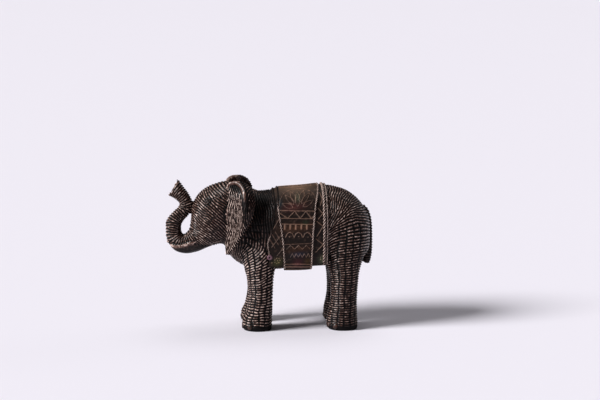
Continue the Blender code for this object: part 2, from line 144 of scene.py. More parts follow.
# Head and trunk
# The skull runs without a break into the trunk, which drops from the face, curls forward and rises until it
# touches the forehead. Its open tip has two points. Upper or inner edge x, z, lower or outer edge x, z, half
# width, in 145ths.
HEAD_STATIONS = [
    (-6, 130, -24, 70, 24), (-22, 136.5, -36, 71, 24), (-39.1, 140.9, -43, 80.9, 24.5),
    (-49.7, 138.9, -52.6, 79.5, 24), (-58.4, 135.5, -59.4, 78, 22), (-65.2, 130.2, -62.3, 77, 19.5),
    (-70, 123.8, -64.2, 76.5, 17), (-72.6, 116.5, -66.2, 76, 15), (-73.4, 108.7, -68.1, 75.6, 13),
    (-74.4, 100.9, -70, 75, 11.5), (-75.8, 94.6, -73.4, 74.6, 10), (-78.7, 91.2, -79.2, 74.6, 9),
    (-81.4, 89.6, -85.5, 75.3, 8), (-83.2, 91.2, -92.4, 79.2, 7.4), (-84, 94.6, -97.6, 86.3, 7.1),
    (-83.8, 98.6, -98.2, 95.1, 6.9), (-82, 102.7, -97.6, 103.8, 6.6), (-78.4, 106.8, -91.3, 111.6, 6.3),
    (-75, 111.4, -86.5, 116, 6), (-71.9, 118.5, -84.5, 119, 5.5), (-73.9, 124.8, -86, 121.9, 5.7),
    (-77.3, 131.1, -89.8, 125, 6.2), (-81.1, 136, -92.3, 126.6, 6.5), (-84.6, 141.2, -94.6, 127.6, 6.2),
    (-86.9, 144, -96, 128, 4.6),
]
TRUNK_HOLLOW = [(-87.2, 141.4, -94.4, 129.4, 3.2), (-87.6, 136.2, -90.6, 131.4, 2.2)]
TIP_SCOOP = 3.6
TRUNK_FROM, TRUNK_WHOLLY = 7, 10
FACE_LEAN, BROW_LEAN, BROW_HEIGHTS, FACE_FROM = math.radians(58), math.radians(54), (104, 128), (20, 42)
SLOWEST, FASTEST = 0.55, 1.8
STEPS = 6

head_rows = np.vstack([smooth_through(HEAD_STATIONS, STEPS), np.array(TRUNK_HOLLOW)])
head_rings = [ring(Vector((ux, 0, uz)), Vector((lx, 0, lz)), half) for ux, uz, lx, lz, half in head_rows]
tip_run = (sum(head_rings[-3], Vector()) - sum(head_rings[-6], Vector())).normalized()
for points, scoop in zip(head_rings[-4:], (TIP_SCOOP / 2, TIP_SCOOP, TIP_SCOOP, TIP_SCOOP)):
    for k, point in enumerate(points):
        point -= tip_run * scoop * abs(math.cos(2 * math.pi * k / RING_POINTS)) ** 1.5
head_middle = [(rings[0] + rings[RING_POINTS // 2]) / 2 for rings in head_rings]
head_length = np.concatenate([[0], np.cumsum([(b - a).length for a, b in zip(head_middle, head_middle[1:])])])


def head_run(i, k, point):
    """Ribs that lean back over the face, and from the root of the trunk on are rings round it."""
    lean = FACE_LEAN + (BROW_LEAN - FACE_LEAN) * float(smooth_step(point.z, *BROW_HEIGHTS))
    lean *= float(smooth_step(-point.x, *FACE_FROM))
    face = Vector((math.cos(lean), 0, math.sin(lean)))
    trunk = float(smooth_step(i / STEPS, TRUNK_FROM, TRUNK_WHOLLY))
    if trunk == 0:
        return face
    before, after = max(i - 1, 0), min(i + 1, len(head_rings) - 1)
    step = head_rings[before][k] - head_rings[after][k]
    if step.length < 1e-6:
        return face
    pace = step.length / (head_length[after] - head_length[before])
    along = step.normalized() / max(min(pace, FASTEST), SLOWEST)
    return face * (1 - trunk) + along * trunk


add_skin(head_rings, "head", head_run, lambda i: 0.3 if i / STEPS > TRUNK_FROM + 1 else 0.02)

# Ears
# Two large leaves that flare from the sides of the head: dished in front up to a fold with a rolled rim,
# from which a margin turns back. Height, place x, y of the front edge and of the fold, the margin's reach.
EAR_STATIONS = [
    (144.3, -33, 21, -28.5, 24.5, 2.5), (141.8, -36.8, 18.5, -25.3, 28.5, 5.5),
    (135.5, -38.8, 21.5, -23.5, 33.5, 8.6),
    (127, -39.2, 24.5, -23, 36.5, 10), (117, -39.4, 26, -23, 38, 9.2), (110, -39.6, 26.3, -23.2, 38.4, 7.6),
    (104, -40, 26.5, -24, 38.4, 5.8), (97, -40.6, 26.5, -26, 37.5, 3.4), (90, -41.2, 26.4, -29.5, 35.5, 2.2),
    (83, -41.8, 26.3, -33.5, 32.5, 1.6), (77.5, -41.8, 26.2, -37.5, 29, 1.2),
    (74.3, -41, 26.2, -38.6, 27.8, 0.8),
]
EAR_THICKNESS, EAR_DISH, EAR_FOLD, MARGIN_TURN = 2.9, 0.08, 0.78, 0.65
EAR_HOLLOW, EAR_HOLLOW_HEIGHTS = 1.2, (128, 138)
EAR_RIM_STATIONS = [
    (-40.4, 21.5, 136), (-38.8, 19.6, 140), (-35.5, 20.8, 142.4), (-31, 23.7, 142.8), (-27, 27.4, 140.6),
    (-24.2, 32, 135.5), (-23.3, 35.6, 127.5), (-23.2, 38, 116), (-23.6, 38.4, 106),
]
EAR_RIM_THICKNESS, RIM_SMOOTH_HEIGHTS = 3.2, (116, 132)


def across_ear(u, station):
    """The leaf's middle at one height: 0 at the front edge, EAR_FOLD at the fold, 1 at the outer edge."""
    height, front_x, front_y, fold_x, fold_y, margin = station
    front, fold = Vector((front_x, front_y, height)), Vector((fold_x, fold_y, height))
    if u > EAR_FOLD:
        return fold + Vector((1, -MARGIN_TURN, 0)) * (margin * (u - EAR_FOLD) / (1 - EAR_FOLD))
    along = fold - front
    hollow = EAR_DISH * (1 + EAR_HOLLOW * float(smooth_step(height, *EAR_HOLLOW_HEIGHTS)))
    inward = Vector((along.y, -along.x, 0)) * hollow
    return front + along * u / EAR_FOLD + inward * math.sin(math.pi * u / EAR_FOLD)


def rod_rings(path, radii, sides=RING_POINTS // 4):
    """Round cross-sections along a path."""
    rings = []
    for i, point in enumerate(path):
        ahead = (path[min(i + 1, len(path) - 1)] - path[max(i - 1, 0)]).normalized()
        flat = ahead.cross(Vector((0, 0, 1)))
        flat = flat.normalized() if flat.length > 0.2 else Vector((0, 1, 0))
        steep = flat.cross(ahead).normalized()
        rings.append([point + radii[i] * (flat * math.cos(t) + steep * math.sin(t))
                      for t in round_steps(sides)])
    return rings


def ear_region(k):
    if k > RING_POINTS // 2:
        return "ear_backs"
    return "ears" if 0.5 + 0.5 * squared(2 * math.pi * k / RING_POINTS,
                                         2.6)[0] < EAR_FOLD + 0.09 else "ear_margins"


for side in (-1, 1):
    leaf, leaf_run = [], []
    for station in smooth_through(EAR_STATIONS):
        points = []
        for i in range(RING_POINTS):
            across, thick = squared(2 * math.pi * i / RING_POINTS, 2.6)
            u = 0.5 + 0.5 * across
            ahead = across_ear(min(u + 0.03, 1), station) - across_ear(max(u - 0.03, 0), station)
            outward = Vector((-ahead.y, ahead.x, 0)).normalized()
            point = across_ear(u, station) + outward * thick * EAR_THICKNESS / 2
            points.append(Vector((point.x, side * point.y, point.z)))
        leaf.append(points)
        leaf_run.append(Vector((station[3] - station[1], side * (station[4] - station[2]), 0)).normalized())
    add_skin(leaf, ear_region, lambda i, k, point, runs=leaf_run: runs[i], 0.02)
    rim = [Vector((x, side * y, z)) for x, y, z in smooth_through(EAR_RIM_STATIONS)]
    swell = [EAR_RIM_THICKNESS / 2 * (0.55 + 0.45 * math.sin(math.pi * i / (len(rim) - 1)))
             for i in range(len(rim))]
    across_rim = [Vector((0.3, side, 0)).normalized()] * len(rim)
    add_skin(rod_rings(rim, swell), "ear_rims", lambda i, k, point, runs=across_rim: runs[i], 0.02)

# Legs
# Four straight, stout legs, each a little wider at the foot. They end in flat soles on the ground, with a
# smooth band round them. Height, front and back edge along x, half width across, in 145ths.
FRONT_LEG_STATIONS = [
    (-0.6, -24, 2.3, 12.6), (3, -25.4, 2.8, 13.2), (10, -25.2, 2.8, 12.8), (17, -21.8, 3.1, 12.4),
    (30, -19, 3.4, 12.2), (40, -19.2, 3.8, 12.3), (50, -20.7, 4.4, 12.6), (58, -22.9, 5.6, 12.9),
    (70, -25, 8, 13), (85, -26, 9, 12.5),
    (102, -22, 6, 10),
]
HIND_LEG_STATIONS = [
    (-0.6, 57.8, 85.4, 12.8), (4, 56.4, 85.8, 13.2), (12, 56.5, 85.2, 12.9), (20, 58.2, 84.9, 12.5),
    (30, 59.6, 84.9, 12.5), (45, 59.3, 85.8, 13), (55, 57.8, 86.8, 13.6), (64, 54, 89, 14.2),
    (75, 52, 92, 14.8),
    (88, 52, 94, 14.6), (102, 56, 92, 12),
]
LEG_FROM_MIDDLE = 20
# How far ribs lean, in degrees, as they climb from one height to another
SHOULDER_LEANS, THIGH_LEANS = ((45, 56, 80), (58, 80, 96)), ((38, 92, 116),)


def leg_run(i, k, point):
    """Level ribs on the leg, which lean as they climb to the shoulder or hip."""
    leans = SHOULDER_LEANS if point.x < 30 else THIGH_LEANS
    lean = math.radians(sum(degrees * smooth_step(point.z, low, high) for degrees, low, high in leans))
    return Vector((math.sin(lean), 0, -math.cos(lean)))


for side in (-1, 1):
    for stations, region in ((FRONT_LEG_STATIONS, "front_legs"), (HIND_LEG_STATIONS, "hind_legs")):
        leg = [ring(Vector((back, 0, height)), Vector((front, 0, height)), half, side * LEG_FROM_MIDDLE,
                    ELLIPSE, ELLIPSE) for height, front, back, half in smooth_through(stations)]
        add_skin(leg, region, leg_run, 0.008)

# Tail
# A cord of a tail that lies flat on the rump and thickens to a tuft. Place x, height and half width.
TAIL_STATIONS = [(93, 116, 2), (97, 112, 2.8), (99.8, 104, 3), (100.9, 92, 2.9), (101.1, 80, 2.8),
                 (100.8, 71, 3.4),
                 (99.7, 64.6, 4), (98.3, 60.8, 2.2)]
TAIL_DEPTH, TUFT_DEPTH, TUFT_HEIGHTS = 5, 8.5, (64, 84)
tail_rows = smooth_through(TAIL_STATIONS)
tail_rings = []
for i, (x, height, half) in enumerate(tail_rows):
    ahead = tail_rows[min(i + 1, len(tail_rows) - 1)] - tail_rows[max(i - 1, 0)]
    depth = TAIL_DEPTH + (TUFT_DEPTH - TAIL_DEPTH) * float(1 - smooth_step(height, *TUFT_HEIGHTS))
    out = Vector((-ahead[1], 0, ahead[0])).normalized() * depth / 2
    centre = Vector((x - depth / 2 + 0.6, 0, height))
    tail_rings.append(ring(centre + out, centre - out, half, 0, ELLIPSE, ELLIPSE))
add_skin(tail_rings, "tail", lambda i, k, point: Vector((0, 0, -1)), 0.2)

# Lower lip
# A smooth, pointed scoop under the bend of the trunk, with a rolled rim that is rubbed bright and given a
# painted highlight, and painted light that grows towards its top. Place x, height of the rim, height of the
# underside, half width.
LIP_STATIONS = [
    (-54, 83, 80, 12.5), (-60, 84, 77, 12.5), (-66, 84.8, 74, 12), (-72, 83.6, 72.3, 11.2),
    (-77.8, 81.6, 71.4, 10.4), (-83.6, 79.6, 72.0, 9.2), (-89.4, 79.2, 74.2, 7.4), (-93.7, 81, 78, 4.9),
]
LIP_TIP = Vector((-96.8, 0, 83.4))
LIP_ROLL = 1.4
lip_rows = smooth_through(LIP_STATIONS)
add_skin([ring(Vector((x, 0, rim - LIP_ROLL)), Vector((x, 0, under)), half - LIP_ROLL / 2, 0, 8, ELLIPSE)
          for x, rim, under, half in lip_rows], "lip", lambda i, k, point: Vector((1, 0, 0)))
lip_side = [Vector((x, -half + LIP_ROLL / 2, rim)) for x, rim, under, half in lip_rows]
lip_edge = lip_side + [LIP_TIP] + [Vector((p.x, -p.y, p.z)) for p in reversed(lip_side)]
add_skin(rod_rings(lip_edge, [LIP_ROLL] * len(lip_edge)), "lip", lambda i, k, point: Vector((1, 0, 0)))

# One skin over the carving
# The chisel leaves no joint between body, head and limbs, so the skins above are fused into one even skin,
# smoothed, refined, cut flat at the ground, and set in the frame's box.
COARSE_GRAIN = 1.0 * MM
SKIN_SMOOTHING = 3


def plain_mesh(thing):
    """The object's mesh as its modifiers leave it, with no modifier on it."""
    bpy.context.view_layer.update()
    return bpy.data.meshes.new_from_object(thing.evaluated_get(bpy.context.evaluated_depsgraph_get()))


def object_of(name, mesh):
    thing = bpy.data.objects.new(name, mesh)
    bpy.context.scene.collection.objects.link(thing)
    return thing


def object_from(name, points, edges=(), faces=()):
    mesh = bpy.data.meshes.new(name)
    mesh.from_pydata(points, edges, faces)
    return object_of(name, mesh)


def places(mesh, normals=False):
    """The vertices' places, or their normals, as rows of three numbers."""
    values = np.empty(len(mesh.vertices) * 3, np.float32)
    if normals:
        mesh.vertex_normals.foreach_get("vector", values)
    else:
        mesh.vertices.foreach_get("co", values)
    return values.reshape(-1, 3).astype(float)


rough_mesh = bpy.data.meshes.new("rough")
blank.to_mesh(rough_mesh)
blank.free()
rough = object_of("rough", rough_mesh)
fuse = rough.modifiers.new("fuse", "REMESH")
fuse.mode = "VOXEL"
fuse.voxel_size = COARSE_GRAIN
ease = rough.modifiers.new("ease", "SMOOTH")
ease.factor = 0.5
ease.iterations = SKIN_SMOOTHING
coarse = plain_mesh(rough)
bpy.data.objects.remove(rough)
coarse_place = places(coarse)
shift = (low_corner.x + high_corner.x) / 2 - (coarse_place[:, 0].min() + coarse_place[:, 0].max()) / 2

# Ribs
# The whole skin, apart from lip, eyes, nails and soles, is carved in close ribs like wound cane, which fork
# where the form widens. First their direction is spread over the skin, then their spacing is evened out, and
# at last each rib is raised.
RIB_PITCH = 2.3 * MM
RIB_DEPTH, RIB_ROUNDNESS, RIB_UNEVENNESS, PATCH_SIZE = 1.0 * MM, 0.65, 0.5, 2.6 * MM
CUT_PITCH, CUT_WIDTH, CUT_JOG, CUT_ADVANCE, FURROWS_ROUND_LEG = 6.2 * MM, 0.5, 2.0, (0.5, 0.8), 14
DIRECTION_ROUNDS, LEVELLING_ROUNDS, SPACING_ROUNDS, FINE_ROUNDS, STRENGTH_ROUNDS = 120, 300, 120, 12, 2
WOBBLES = ((1, 9 * MM), (0.5, 9 * MM / 2.3))
SOLE_BAND, BAND_FADE, RIM_CLEARING = 3.2, 1.5, (1.6, 3.2)
EYE, EYE_CLEARING, CLEARING_FADE = (-58.6, 20.6, 125), 3.4, 1.2
# How bright each place is left: less in recesses, partly for stain and partly as painted shade; painted shade
# round the ears' roots and in the hollow under an ear's arch; painted light on the ears
RECESS_ROUNDS, RECESS_FULL, RECESS_NONE = 40, -2.0 * MM, -0.1 * MM
NEAR_EAR_ROUNDS, NEAR_EAR, EAR_SHADE = 24, (0.02, 0.4), 0.85
EAR_PAINTED_LIGHT, HOLLOW_HEIGHTS, HOLLOW_DEPTH, HOLLOW_SHADE = 1.3, (131, 138), 0.5 * MM, 0.65
# Of each region: how close its ribs are, how their direction wavers, how deep cuts go, how strong ribs are
RIBS_OF = {
    "barrel": (1.15, 0.16, 0.15, 1), "head": (1.07, 0.12, 0.25, 1), "ears": (1.12, 0.3, 0.2, 1),
    "ear_margins": (1.1, 0.2, 0.2, 0.9), "ear_backs": (1.2, 0.2, 0.1, 0.2), "ear_rims": (1, 0.1, 0.1, 0.6),
    "front_legs": (0.94, 0.4, 0.55, 1), "hind_legs": (1.02, 0.16, 0.55, 1), "tail": (1, 0.05, 0.2, 0.8),
    "lip": (1, 0, 0, 0),
}


def edge_ends(mesh):
    ends = np.empty(len(mesh.edges) * 2, np.int32)
    mesh.edges.foreach_get("vertices", ends)
    return ends.reshape(-1, 2).astype(np.int64)


def sum_at(index, values, count):
    """Adds up rows of values at the vertices that index names."""
    if values.ndim == 1:
        return np.bincount(index, weights=values, minlength=count)
    return np.stack([np.bincount(index, weights=values[:, k], minlength=count)
                     for k in range(values.shape[1])], 1)


def unit(rows):
    return rows / np.maximum(np.linalg.norm(rows, axis=1, keepdims=True), 1e-12)


def mean_of_neighbours(values):
    total = sum_at(start, values[end], count) + sum_at(end, values[start], count)
    return total / (degree if values.ndim == 2 else degree[:, 0])


tree = KDTree(len(guides["place"]))
for i, place in enumerate(guides["place"]):
    tree.insert(place, i)
tree.balance()
nearest = np.array([tree.find(place)[1] for place in coarse_place])
wanted_run = np.array(guides["run"])[nearest]
region_of = np.array(guides["region"])[nearest]
hold = np.array(guides["hold"])[nearest][:, None]
normal = places(coarse, normals=True)
ends = edge_ends(coarse)
start, end = ends[:, 0], ends[:, 1]
count = len(coarse.vertices)
once = np.ones(len(ends))
degree = np.maximum(sum_at(start, once, count) + sum_at(end, once, count), 1)[:, None]
pace = np.linalg.norm(wanted_run, axis=1)
run = wanted_run.copy()
for _ in range(DIRECTION_ROUNDS):
    run = mean_of_neighbours(run) * (1 - hold) + wanted_run * hold
    run -= normal * (run * normal).sum(1, keepdims=True)
run = unit(run)
turned = sum(share * np.array([noise.noise(Vector(place) / size) for place in coarse_place])
             for share, size in WOBBLES)
closeness, wavering, cuts, strength = np.array([RIBS_OF[name] for name in REGIONS], float)[region_of].T
wobble = wavering * 2 * turned
run = run * np.cos(wobble)[:, None] + np.cross(normal, run) * np.sin(wobble)[:, None]


def neighbour_steps(place, run, start, end):
    """How many ribs, times their pitch, are wanted along each edge."""
    return ((run[start] + run[end]) / 2 * (place[end] - place[start])).sum(1)


def even_out(wave, step, start, end, pitch, rounds):
    """Lets neighbours agree where each rib runs, so that ribs keep their pitch and fork where they must."""
    turn = np.exp(2j * np.pi * step / pitch)
    for _ in range(rounds):
        ahead, back = wave[start] * turn, wave[end] * np.conj(turn)
        total = sum_at(end, ahead.real, len(wave)) + sum_at(start, back.real, len(wave))
        total = total + 1j * (sum_at(end, ahead.imag, len(wave)) + sum_at(start, back.imag, len(wave)))
        wave = total / np.maximum(abs(total), 1e-9)
    return wave


def round_legs(along, run, pitch):
    """Winds the wave a whole number of turns round each leg, which levelling alone can't do."""
    for side in (-1, 1):
        for stations, region in ((FRONT_LEG_STATIONS, "front_legs"), (HIND_LEG_STATIONS, "hind_legs")):
            on_leg = (region_of == REGIONS.index(region)) & (coarse_place[:, 1] * side > 0)
            place = coarse_place[on_leg] / UNIT
            heights, fronts, backs, _ = zip(*stations)
            from_middle = place[:, 0] - np.interp(place[:, 2], heights, np.add(fronts, backs) / 2)
            sideways = place[:, 1] - side * LEG_FROM_MIDDLE
            angle = np.arctan2(sideways, from_middle)
            ahead = run[on_leg, 0] * -np.sin(angle) + run[on_leg, 1] * np.cos(angle)
            along[on_leg] = angle * np.sign(ahead.sum()) * FURROWS_ROUND_LEG * pitch / (2 * np.pi)


def spaced_wave(run, pitch, legs=False):
    """A wave over the skin that makes one turn each pitch along the run, as nearly as its form allows."""
    step = neighbour_steps(coarse_place, run, start, end)
    along = np.zeros(count)
    left_over = sum_at(end, step, count) - sum_at(start, step, count)
    search = left_over.copy()
    size = left_over @ left_over
    for _ in range(LEVELLING_ROUNDS):
        rise = search[end] - search[start]
        pulled = sum_at(end, rise, count) - sum_at(start, rise, count)
        stride = size / (search @ pulled)
        along += stride * search
        left_over -= stride * pulled
        new_size = left_over @ left_over
        search = left_over + new_size / size * search
        size = new_size
    if legs:
        round_legs(along, run, pitch)
    return even_out(np.exp(2j * np.pi * along / pitch), step, start, end, pitch, SPACING_ROUNDS)


cross_run = unit(np.cross(normal, run))
run *= (pace * closeness)[:, None]
wave, cross_wave = spaced_wave(run, RIB_PITCH), spaced_wave(cross_run, CUT_PITCH, legs=True)


def from_ear_rim(place):
    """How far places are from the middle of the nearer ear's rim, all in 145ths."""
    alike = place.copy()
    alike[:, 1] = abs(alike[:, 1])
    return np.min([np.linalg.norm(alike - point, axis=1) for point in smooth_through(EAR_RIM_STATIONS)],
                  axis=0)


length = np.linalg.norm(coarse_place[end] - coarse_place[start], axis=1)
slope = (np.angle(cross_wave[end] * np.conj(cross_wave[start])) * CUT_PITCH / (2 * np.pi * length)) ** 2
advance = np.sqrt(2 * (sum_at(start, slope, count) + sum_at(end, slope, count)) / degree[:, 0])
cuts *= smooth_step(advance, *CUT_ADVANCE)
strength *= smooth_step(coarse_place[:, 2], SOLE_BAND * UNIT, (SOLE_BAND + BAND_FADE) * UNIT)
for side in (-1, 1):
    from_eye = np.linalg.norm(coarse_place / UNIT - np.array([EYE[0], side * EYE[1], EYE[2]]), axis=1)
    strength *= smooth_step(from_eye, EYE_CLEARING - CLEARING_FADE, EYE_CLEARING + CLEARING_FADE)
at_arch = smooth_step(coarse_place[:, 2] / UNIT, *RIM_SMOOTH_HEIGHTS)
strength *= 1 - at_arch * (1 - smooth_step(from_ear_rim(coarse_place / UNIT), *RIM_CLEARING))
for _ in range(STRENGTH_ROUNDS):
    strength = mean_of_neighbours(strength)


def store(mesh, name, values, kind="FLOAT", domain="POINT"):
    made = mesh.attributes.new(name, kind, domain)
    flat = np.ascontiguousarray(values, np.int32 if kind == "INT" else np.float32).ravel()
    made.data.foreach_set("vector" if kind == "FLOAT_VECTOR" else "value", flat)


def face_corners(mesh):
    corners = np.empty(len(mesh.loops), np.int32)
    mesh.loops.foreach_get("vertex_index", corners)
    return corners.reshape(-1, 4)


# Painted shade, partly stain: places that lie in a recess are left darker
eased = coarse_place.copy()
for _ in range(RECESS_ROUNDS):
    eased = mean_of_neighbours(eased)
bulge = ((coarse_place - eased) * normal).sum(1)
rubbed_and_lit = smooth_step(bulge, RECESS_FULL, RECESS_NONE)
# Painted shade: the head and body round the ears' roots are left darker, where the ears shade them
on_ear = np.isin(region_of, [REGIONS.index(name)
                             for name in ("ears", "ear_margins", "ear_backs", "ear_rims")])
near_ear = on_ear.astype(float)
for _ in range(NEAR_EAR_ROUNDS):
    near_ear = mean_of_neighbours(near_ear)
rubbed_and_lit *= 1 - EAR_SHADE * smooth_step(near_ear, *NEAR_EAR)
# Painted light over the ears, with painted shade in the hollow under each ear's arch
in_hollow = smooth_step(coarse_place[:, 2] / UNIT, *HOLLOW_HEIGHTS) * smooth_step(-bulge, 0, HOLLOW_DEPTH)
rubbed_and_lit[on_ear] = EAR_PAINTED_LIGHT - HOLLOW_SHADE * in_hollow[on_ear]
store(coarse, "rubbed_and_lit", rubbed_and_lit)
for name, turns, share, direction in (("rib", wave, strength, run), ("cut", cross_wave, cuts, cross_run)):
    store(coarse, name + "_wave", np.stack([turns.real, turns.imag, share], 1), "FLOAT_VECTOR")
    store(coarse, name + "_run", direction, "FLOAT_VECTOR")
store(coarse, "region", region_of[face_corners(coarse)[:, 0]], "INT", "FACE")
coarse_place[:, 0] += shift
coarse_place[:, 2] = np.maximum(coarse_place[:, 2], 0)
coarse.vertices.foreach_set("co", coarse_place.astype(np.float32).ravel())
skin = object_of("skin", coarse)
refine = skin.modifiers.new("refine", "SUBSURF")
refine.levels = refine.render_levels = 1
refine.use_limit_surface = False
fine = plain_mesh(skin)
bpy.data.objects.remove(skin)


def stored(mesh, name, width, kind=np.float32):
    values = np.empty(len(mesh.attributes[name].data) * width, kind)
    mesh.attributes[name].data.foreach_get("value" if width == 1 else "vector", values)
    return values.reshape(-1, width) if width > 1 else values


ends = edge_ends(fine)
fine_place = places(fine)
for name, pitch in (("rib", RIB_PITCH), ("cut", CUT_PITCH)):
    rows = stored(fine, name + "_wave", 3).astype(float)
    step = neighbour_steps(fine_place, stored(fine, name + "_run", 3).astype(float), ends[:, 0], ends[:, 1])
    wave = rows[:, 0] + 1j * rows[:, 1]
    wave = even_out(wave / np.maximum(abs(wave), 1e-6), step, ends[:, 0], ends[:, 1], pitch, FINE_ROUNDS)
    rows[:, 0], rows[:, 1] = wave.real, wave.imag
    fine.attributes[name + "_wave"].data.foreach_set("vector", rows.astype(np.float32).ravel())


def add_node(tree, kind, inputs=None, out=0, **settings):
    """Adds a node with its settings and returns one of its outputs. Inputs are values, or outputs to link."""
    node = tree.nodes.new(kind)
    for name, value in settings.items():
        setattr(node, name, value)
    for name, value in (inputs or {}).items():
        if isinstance(value, bpy.types.NodeSocket):
            tree.links.new(value, node.inputs[name])
        else:
            node.inputs[name].default_value = value
    return node.outputs[out]


def maths(tree, operation, *values, **settings):
    return add_node(tree, "ShaderNodeMath", dict(enumerate(values)), operation=operation, **settings)


def mapped(tree, value, start, end, low=0.0, high=1.0, kind="SMOOTHSTEP"):
    """The span from start to end, mapped to the span from low to high."""
    return add_node(tree, "ShaderNodeMapRange",
                    {"Value": value, "From Min": start, "From Max": end, "To Min": low,
                    "To Max": high}, interpolation_type=kind)


def marked(tree, name, kind="FLOAT_VECTOR"):
    """What the mesh carries under a name."""
    return add_node(tree, "GeometryNodeInputNamedAttribute", {"Name": name}, data_type=kind)


def noted(tree, geometry, name, value, kind="FLOAT"):
    """The geometry with a value kept on its points under a name."""
    return add_node(tree, "GeometryNodeStoreNamedAttribute",
                    {"Geometry": geometry, "Name": name, "Value": value},
                    data_type=kind, domain="POINT")


def raised(tree, geometry, direction, lift, **place):
    """The geometry moved from its place, or from another one, along a direction."""
    offset = add_node(tree, "ShaderNodeVectorMath", {0: direction, "Scale": lift}, operation="SCALE")
    return add_node(tree, "GeometryNodeSetPosition", {"Geometry": geometry, "Offset": offset, **place})


def new_tree(name, **inputs):
    """A Geometry Nodes tree with the named inputs, and what it is given."""
    tree = bpy.data.node_groups.new(name, "GeometryNodeTree")
    for way in ("INPUT", "OUTPUT"):
        tree.interface.new_socket("Geometry", in_out=way, socket_type="NodeSocketGeometry")
    for label, kind in inputs.items():
        tree.interface.new_socket(label.replace("_", " "), in_out="INPUT", socket_type="NodeSocket" + kind)
    return tree, tree.nodes.new("NodeGroupInput").outputs


def deliver(tree, geometry, given):
    """Makes the geometry real, coats it with the given material, and lets the tree return it."""
    whole = add_node(tree, "GeometryNodeRealizeInstances", {0: geometry})
    coat = add_node(tree, "GeometryNodeSetMaterial", {"Geometry": whole, "Material": given["Material"]})
    tree.links.new(coat, tree.nodes.new("NodeGroupOutput").inputs[0])


def grown_mesh(thing, tree, **values):
    """Runs the tree on the object with its inputs set, and returns the result as a plain mesh."""
    modifier = thing.modifiers.new(tree.name, "NODES")
    modifier.node_group = tree
    for item in tree.interface.items_tree:
        key = item.name.replace(" ", "_")
        if item.item_type == "SOCKET" and item.in_out == "INPUT" and key in values:
            modifier[item.identifier] = values[key]
    mesh = plain_mesh(thing)
    thing.modifiers.remove(modifier)
    return mesh


# Raises the ribs along their wave, unevenly as by hand, and lowers them again where a cut crosses them
carve, given = new_tree("carve_ribs", Depth="Float", Roundness="Float", Unevenness="Float",
                        Patch_Size="Float", Material="Material")
rib, cut = (add_node(carve, "ShaderNodeSeparateXYZ", {0: marked(carve, name)}).node.outputs
            for name in ("rib_wave", "cut_wave"))
round_top = maths(carve, "POWER", maths(carve, "MULTIPLY_ADD", rib[0], 0.5, 0.5), given["Roundness"],
                  use_clamp=True)
patches = maths(carve, "DIVIDE", 1.0, given["Patch Size"])
hand = add_node(carve, "ShaderNodeTexNoise", {"Scale": patches, "Detail": 2.0, "Roughness": 0.55})
swing = maths(carve, "ADD", hand, -0.5)
uneven = maths(carve, "MULTIPLY_ADD", swing, given["Unevenness"], 1.0)
jog = maths(carve, "MULTIPLY_ADD", swing, CUT_JOG, cut[0])
cut_low = mapped(carve, jog, -1.0, -1.0 + CUT_WIDTH, 1.0, 0.0)
cut_left = maths(carve, "SUBTRACT", 1.0, maths(carve, "MULTIPLY", cut_low, cut[2]))
worked = maths(carve, "MULTIPLY", maths(carve, "MULTIPLY", round_top, uneven), cut_left)
height = maths(carve, "MULTIPLY", worked, rib[2])
lift = maths(carve, "MULTIPLY", maths(carve, "MULTIPLY_ADD", rib[2], -0.5, height), given["Depth"])
facing = add_node(carve, "GeometryNodeInputNormal")
deliver(carve, raised(carve, noted(carve, given["Geometry"], "crest", height), facing, lift), given)

skin = object_of("skin", fine)
carved = grown_mesh(skin, carve, Depth=RIB_DEPTH, Roundness=RIB_ROUNDNESS, Unevenness=RIB_UNEVENNESS,
                    Patch_Size=PATCH_SIZE)
bpy.data.objects.remove(skin)

# The carving's parts
# One carving, kept as meshes of a handy size that meet without a gap. Each takes the skin's own normals,
# so no seam shows where two meet.
CLOTH_FRONT_EDGE = [(62, -0.6), (72, -0.4), (86, -2.6), (96, 0.8), (108, 3.4), (120, 4.6), (132, 4.0),
                    (142, 2.4)]
CLOTH_REAR_EDGE = [(0, 55.6), (142, 55.6)]
CLOTH_HEMS = (62.6, 65)
UNDER_CLOTH = 3.2
# How bright each place is left, apart from the ribs' own height: stain and painted shade in recesses, painted
# light on the ears' fronts, on their backs and on the front legs, painted shade on the ear margins, a painted
# shadow towards the neck, rubbed wear with a painted highlight on the arch's rim, and on the lip painted
# light that grows upward, with rubbed wear and a painted highlight on its rim
STAIN_AND_SHADE_IN_RECESS = 0.5
FRONT_MOST, FRONT_WHOLE, FRONT_FALL = 1.2, 1.15, 2.6
BACK_LEAST, BACK_SHARE, FORELEG_SHARE, MARGIN_SHARE = 0.85, 0.2, 1.07, 0.85
NECK_SHADE, NECK_ALONG, NECK_HEIGHTS = 0.28, (0, 12), (74, 104)
RIM_BARE_AND_LIT, RIM_REACH = 0.98, 2.6
LIP_LOW, LIP_RISE, LIP_HEIGHTS, LIP_RIM, LIP_RIM_REACH = 0.5, 0.15, (71, 80), 0.5, 1.7
carved_place = places(carved)
share_place = (carved_place - [shift, 0, 0]) / UNIT
carved_normal = places(carved, normals=True)
quads = face_corners(carved)
face_region = stored(carved, "region", 1, np.int32)


def of_region(*names):
    return np.isin(face_region, [REGIONS.index(name) for name in names])


def points_of(*names):
    return np.unique(quads[of_region(*names)])


# The ribs' height, darker where stain and painted shade lie and brighter where painted light lies
crest = stored(carved, "crest", 1) * (STAIN_AND_SHADE_IN_RECESS + (1 - STAIN_AND_SHADE_IN_RECESS) * stored(carved, "rubbed_and_lit", 1))
at_front, at_back, on_body = points_of("ears"), points_of("ear_backs"), points_of("barrel", "front_legs")
# Painted light on the ears' fronts, with sharper contrast between ribs and grooves
crest[at_front] = FRONT_MOST * np.clip(crest[at_front] / FRONT_WHOLE, 0, 1) ** FRONT_FALL
